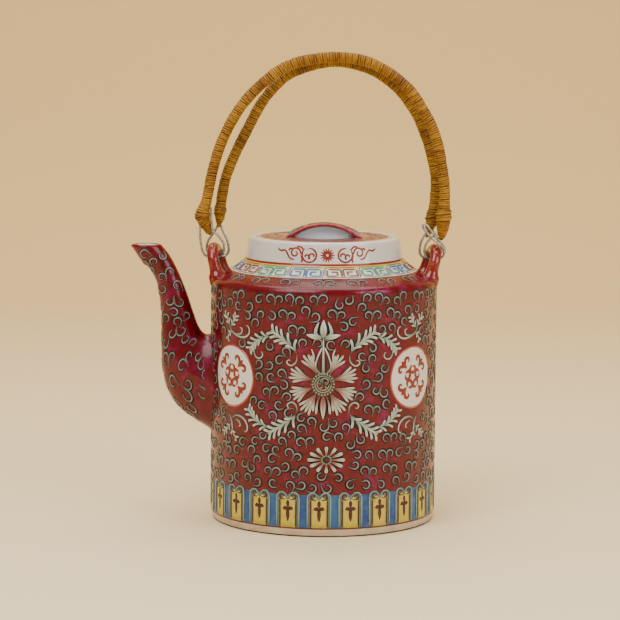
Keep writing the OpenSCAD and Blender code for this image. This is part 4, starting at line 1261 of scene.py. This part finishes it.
for name, kind, end, side, swell, tail, tailR, node in knots:
    line = bailLine(kind)
    inner = line[::-1] if end else line
    face = bailFace[kind]
    bigR = bail["wrap"] + swell
    ball = inner[0] + (0, 0, 1 - bigR)
    tip = atLug(tail, side, face)
    tipEnd = tip + (tip - ball) / np.linalg.norm(tip - ball) * tailR * 0.7
    path = smoothLine([inner[6], inner[2], ball * 0.75 + inner[0] * 0.25, ball * 0.4 + tip * 0.6, tipEnd], 10)
    path = evenLine(path, 60)
    share = np.linspace(0, 1, 60)
    outer = np.interp(share, [0, 0.12, 0.3, 0.5, 0.8, 1.0],
                      [3.1, 3.5, bigR - 0.1, (bigR + tailR) / 2 + 0.2, tailR, tailR * 0.62])
    size = outer - knot["thick"]
    seed = len(name) + side * 3
    strips = [woundStrip(path, size, knot["pitch"], knot["strip"], knot["thick"], 40 + seed, 18, 0.2),
              woundStrip(path[8:44], size[8:44] + 0.25, 4.2, 1.4, knot["thick"], 60 + seed, 30, 0.25)]
    paint = "cane" if kind == "front" else "rearCane"
    addWinding(name, strips, rodShape(path, size - 0.25, 18), paint, kind + "_bail", [node])
print("knots tied")

# The wire eyes in mm and degrees; grip is how far a wire's middle stays from the middle of a lug's tube
wire = {"radius": 0.65, "archR": 8.2, "tube": 6.1, "lean": 15.0, "turn": 10.0, "gap": 0.35, "plane": 2.4,
        "frontFold": 82.0, "rearFold": 72.0}
grip = (wire["tube"] + 2 * wire["radius"]) / 2 + wire["gap"]
eyeLow = math.sqrt((wire["archR"] * math.cos(math.radians(wire["lean"])) - grip) ** 2 - wire["plane"] ** 2)
eyeStart = math.degrees(math.asin(wire["plane"] / wire["archR"]))
leanSin, turnSin = math.sin(math.radians(wire["lean"])), math.sin(math.radians(wire["turn"]))


# How far outwards the lug's arch has moved at an angle round it, from its lean and its turn
def drift(angle):
    return wire["archR"] * (turnSin * math.sin(math.radians(angle)) + leanSin * math.cos(math.radians(angle)))


frontIn = drift(eyeStart + wire["frontFold"] + 8) - grip
frontOut = drift(math.degrees(math.atan(turnSin / leanSin))) + grip
rearIn = drift(-eyeStart - wire["rearFold"] - 8) - grip
rearOut = drift(-eyeStart) + grip
plane = wire["plane"]
# Points along each wire: outwards from the lug, away from the hinge plane, and up from the hinge line
frontLeftWire = [(7.6, 4, 25), (9.2, 3.6, 19), (8.9, 2.9, 11), (frontOut + 1.4, 2.5, 6.3),
                 (frontOut - 0.5, plane, eyeLow + 0.7), (3.5, plane, eyeLow),
                 (0, plane, eyeLow), (frontIn + 1.2, plane, eyeLow + 1), (frontIn - 0.1, 2.5, 7),
                 (frontIn + 0.1, 2.7, 10.8), (-0.6, 3.2, 14.6),
                 (2.2, 4.4, 17.5), (3.1, 5, 22), (3.4, 5, 29.5)]
frontRightWire = [(6.2, 4, 21), (4.6, 3.9, 17.4), (0.6, 3.2, 14.8), (frontIn + 0.8, 2.7, 11.2),
                  (frontIn - 0.1, 2.5, 7), (frontIn + 1.2, plane, eyeLow + 1),
                  (0, plane, eyeLow), (3.5, plane, eyeLow), (frontOut - 0.6, plane, eyeLow + 0.9),
                  (frontOut + 0.6, 2.5, 6.4), (frontOut + 0.2, 2.7, 9.5),
                  (3.4, 4.2, 14), (0.4, 5.4, 17.8), (-2.4, 6, 21.3), (-3.9, 6.2, 22), (-4.3, 6.3, 20.2),
                  (-0.6, 6.1, 15.4), (3.6, 5.2, 12),
                  (6.2, 4.4, 9.4), (frontOut + 0.6, 4.2, 6.4)]
rearWire = [(-0.6, 4, 23), (-2.4, 3.4, 17), (rearIn + 0.8, 2.6, 12), (rearIn - 0.1, 2.5, 7),
            (rearIn + 1, plane, eyeLow + 1.1), (-2.2, plane, eyeLow),
            (2, plane, eyeLow), (rearOut - 1, plane, eyeLow + 1.1), (rearOut + 0.3, 2.5, 7),
            (rearOut - 0.5, 2.6, 11.5), (2.2, 3.2, 15.8), (0.2, 3.8, 19.6),
            (0.3, 4, 23)]
for name, points, side, kind, node in (("frontLeftEye", frontLeftWire, -1, "front", "front_left_eye"),
                                       ("frontRightEye", frontRightWire, 1, "front", "front_right_eye"),
                                       ("rearLeftEye", rearWire, -1, "rear", "rear_left_eye"),
                                       ("rearRightEye", rearWire, 1, "rear", "rear_right_eye")):
    line = smoothLine([atLug(p, side, bailFace[kind]) for p in points], 8)
    shape = rodShape(line, wire["radius"], 14, (0.1, 1, 0.05))
    addPiece(name, shape, gridFaces(len(shape), 14, wrapCols=True), finish["wire"], kind + "_bail", [node])

for node, paint in (("front_core", "cane"), ("rear_core", "rearCane")):
    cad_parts[node].data.materials.clear()
    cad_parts[node].data.materials.append(finish[paint])
print("wire eyes bent")
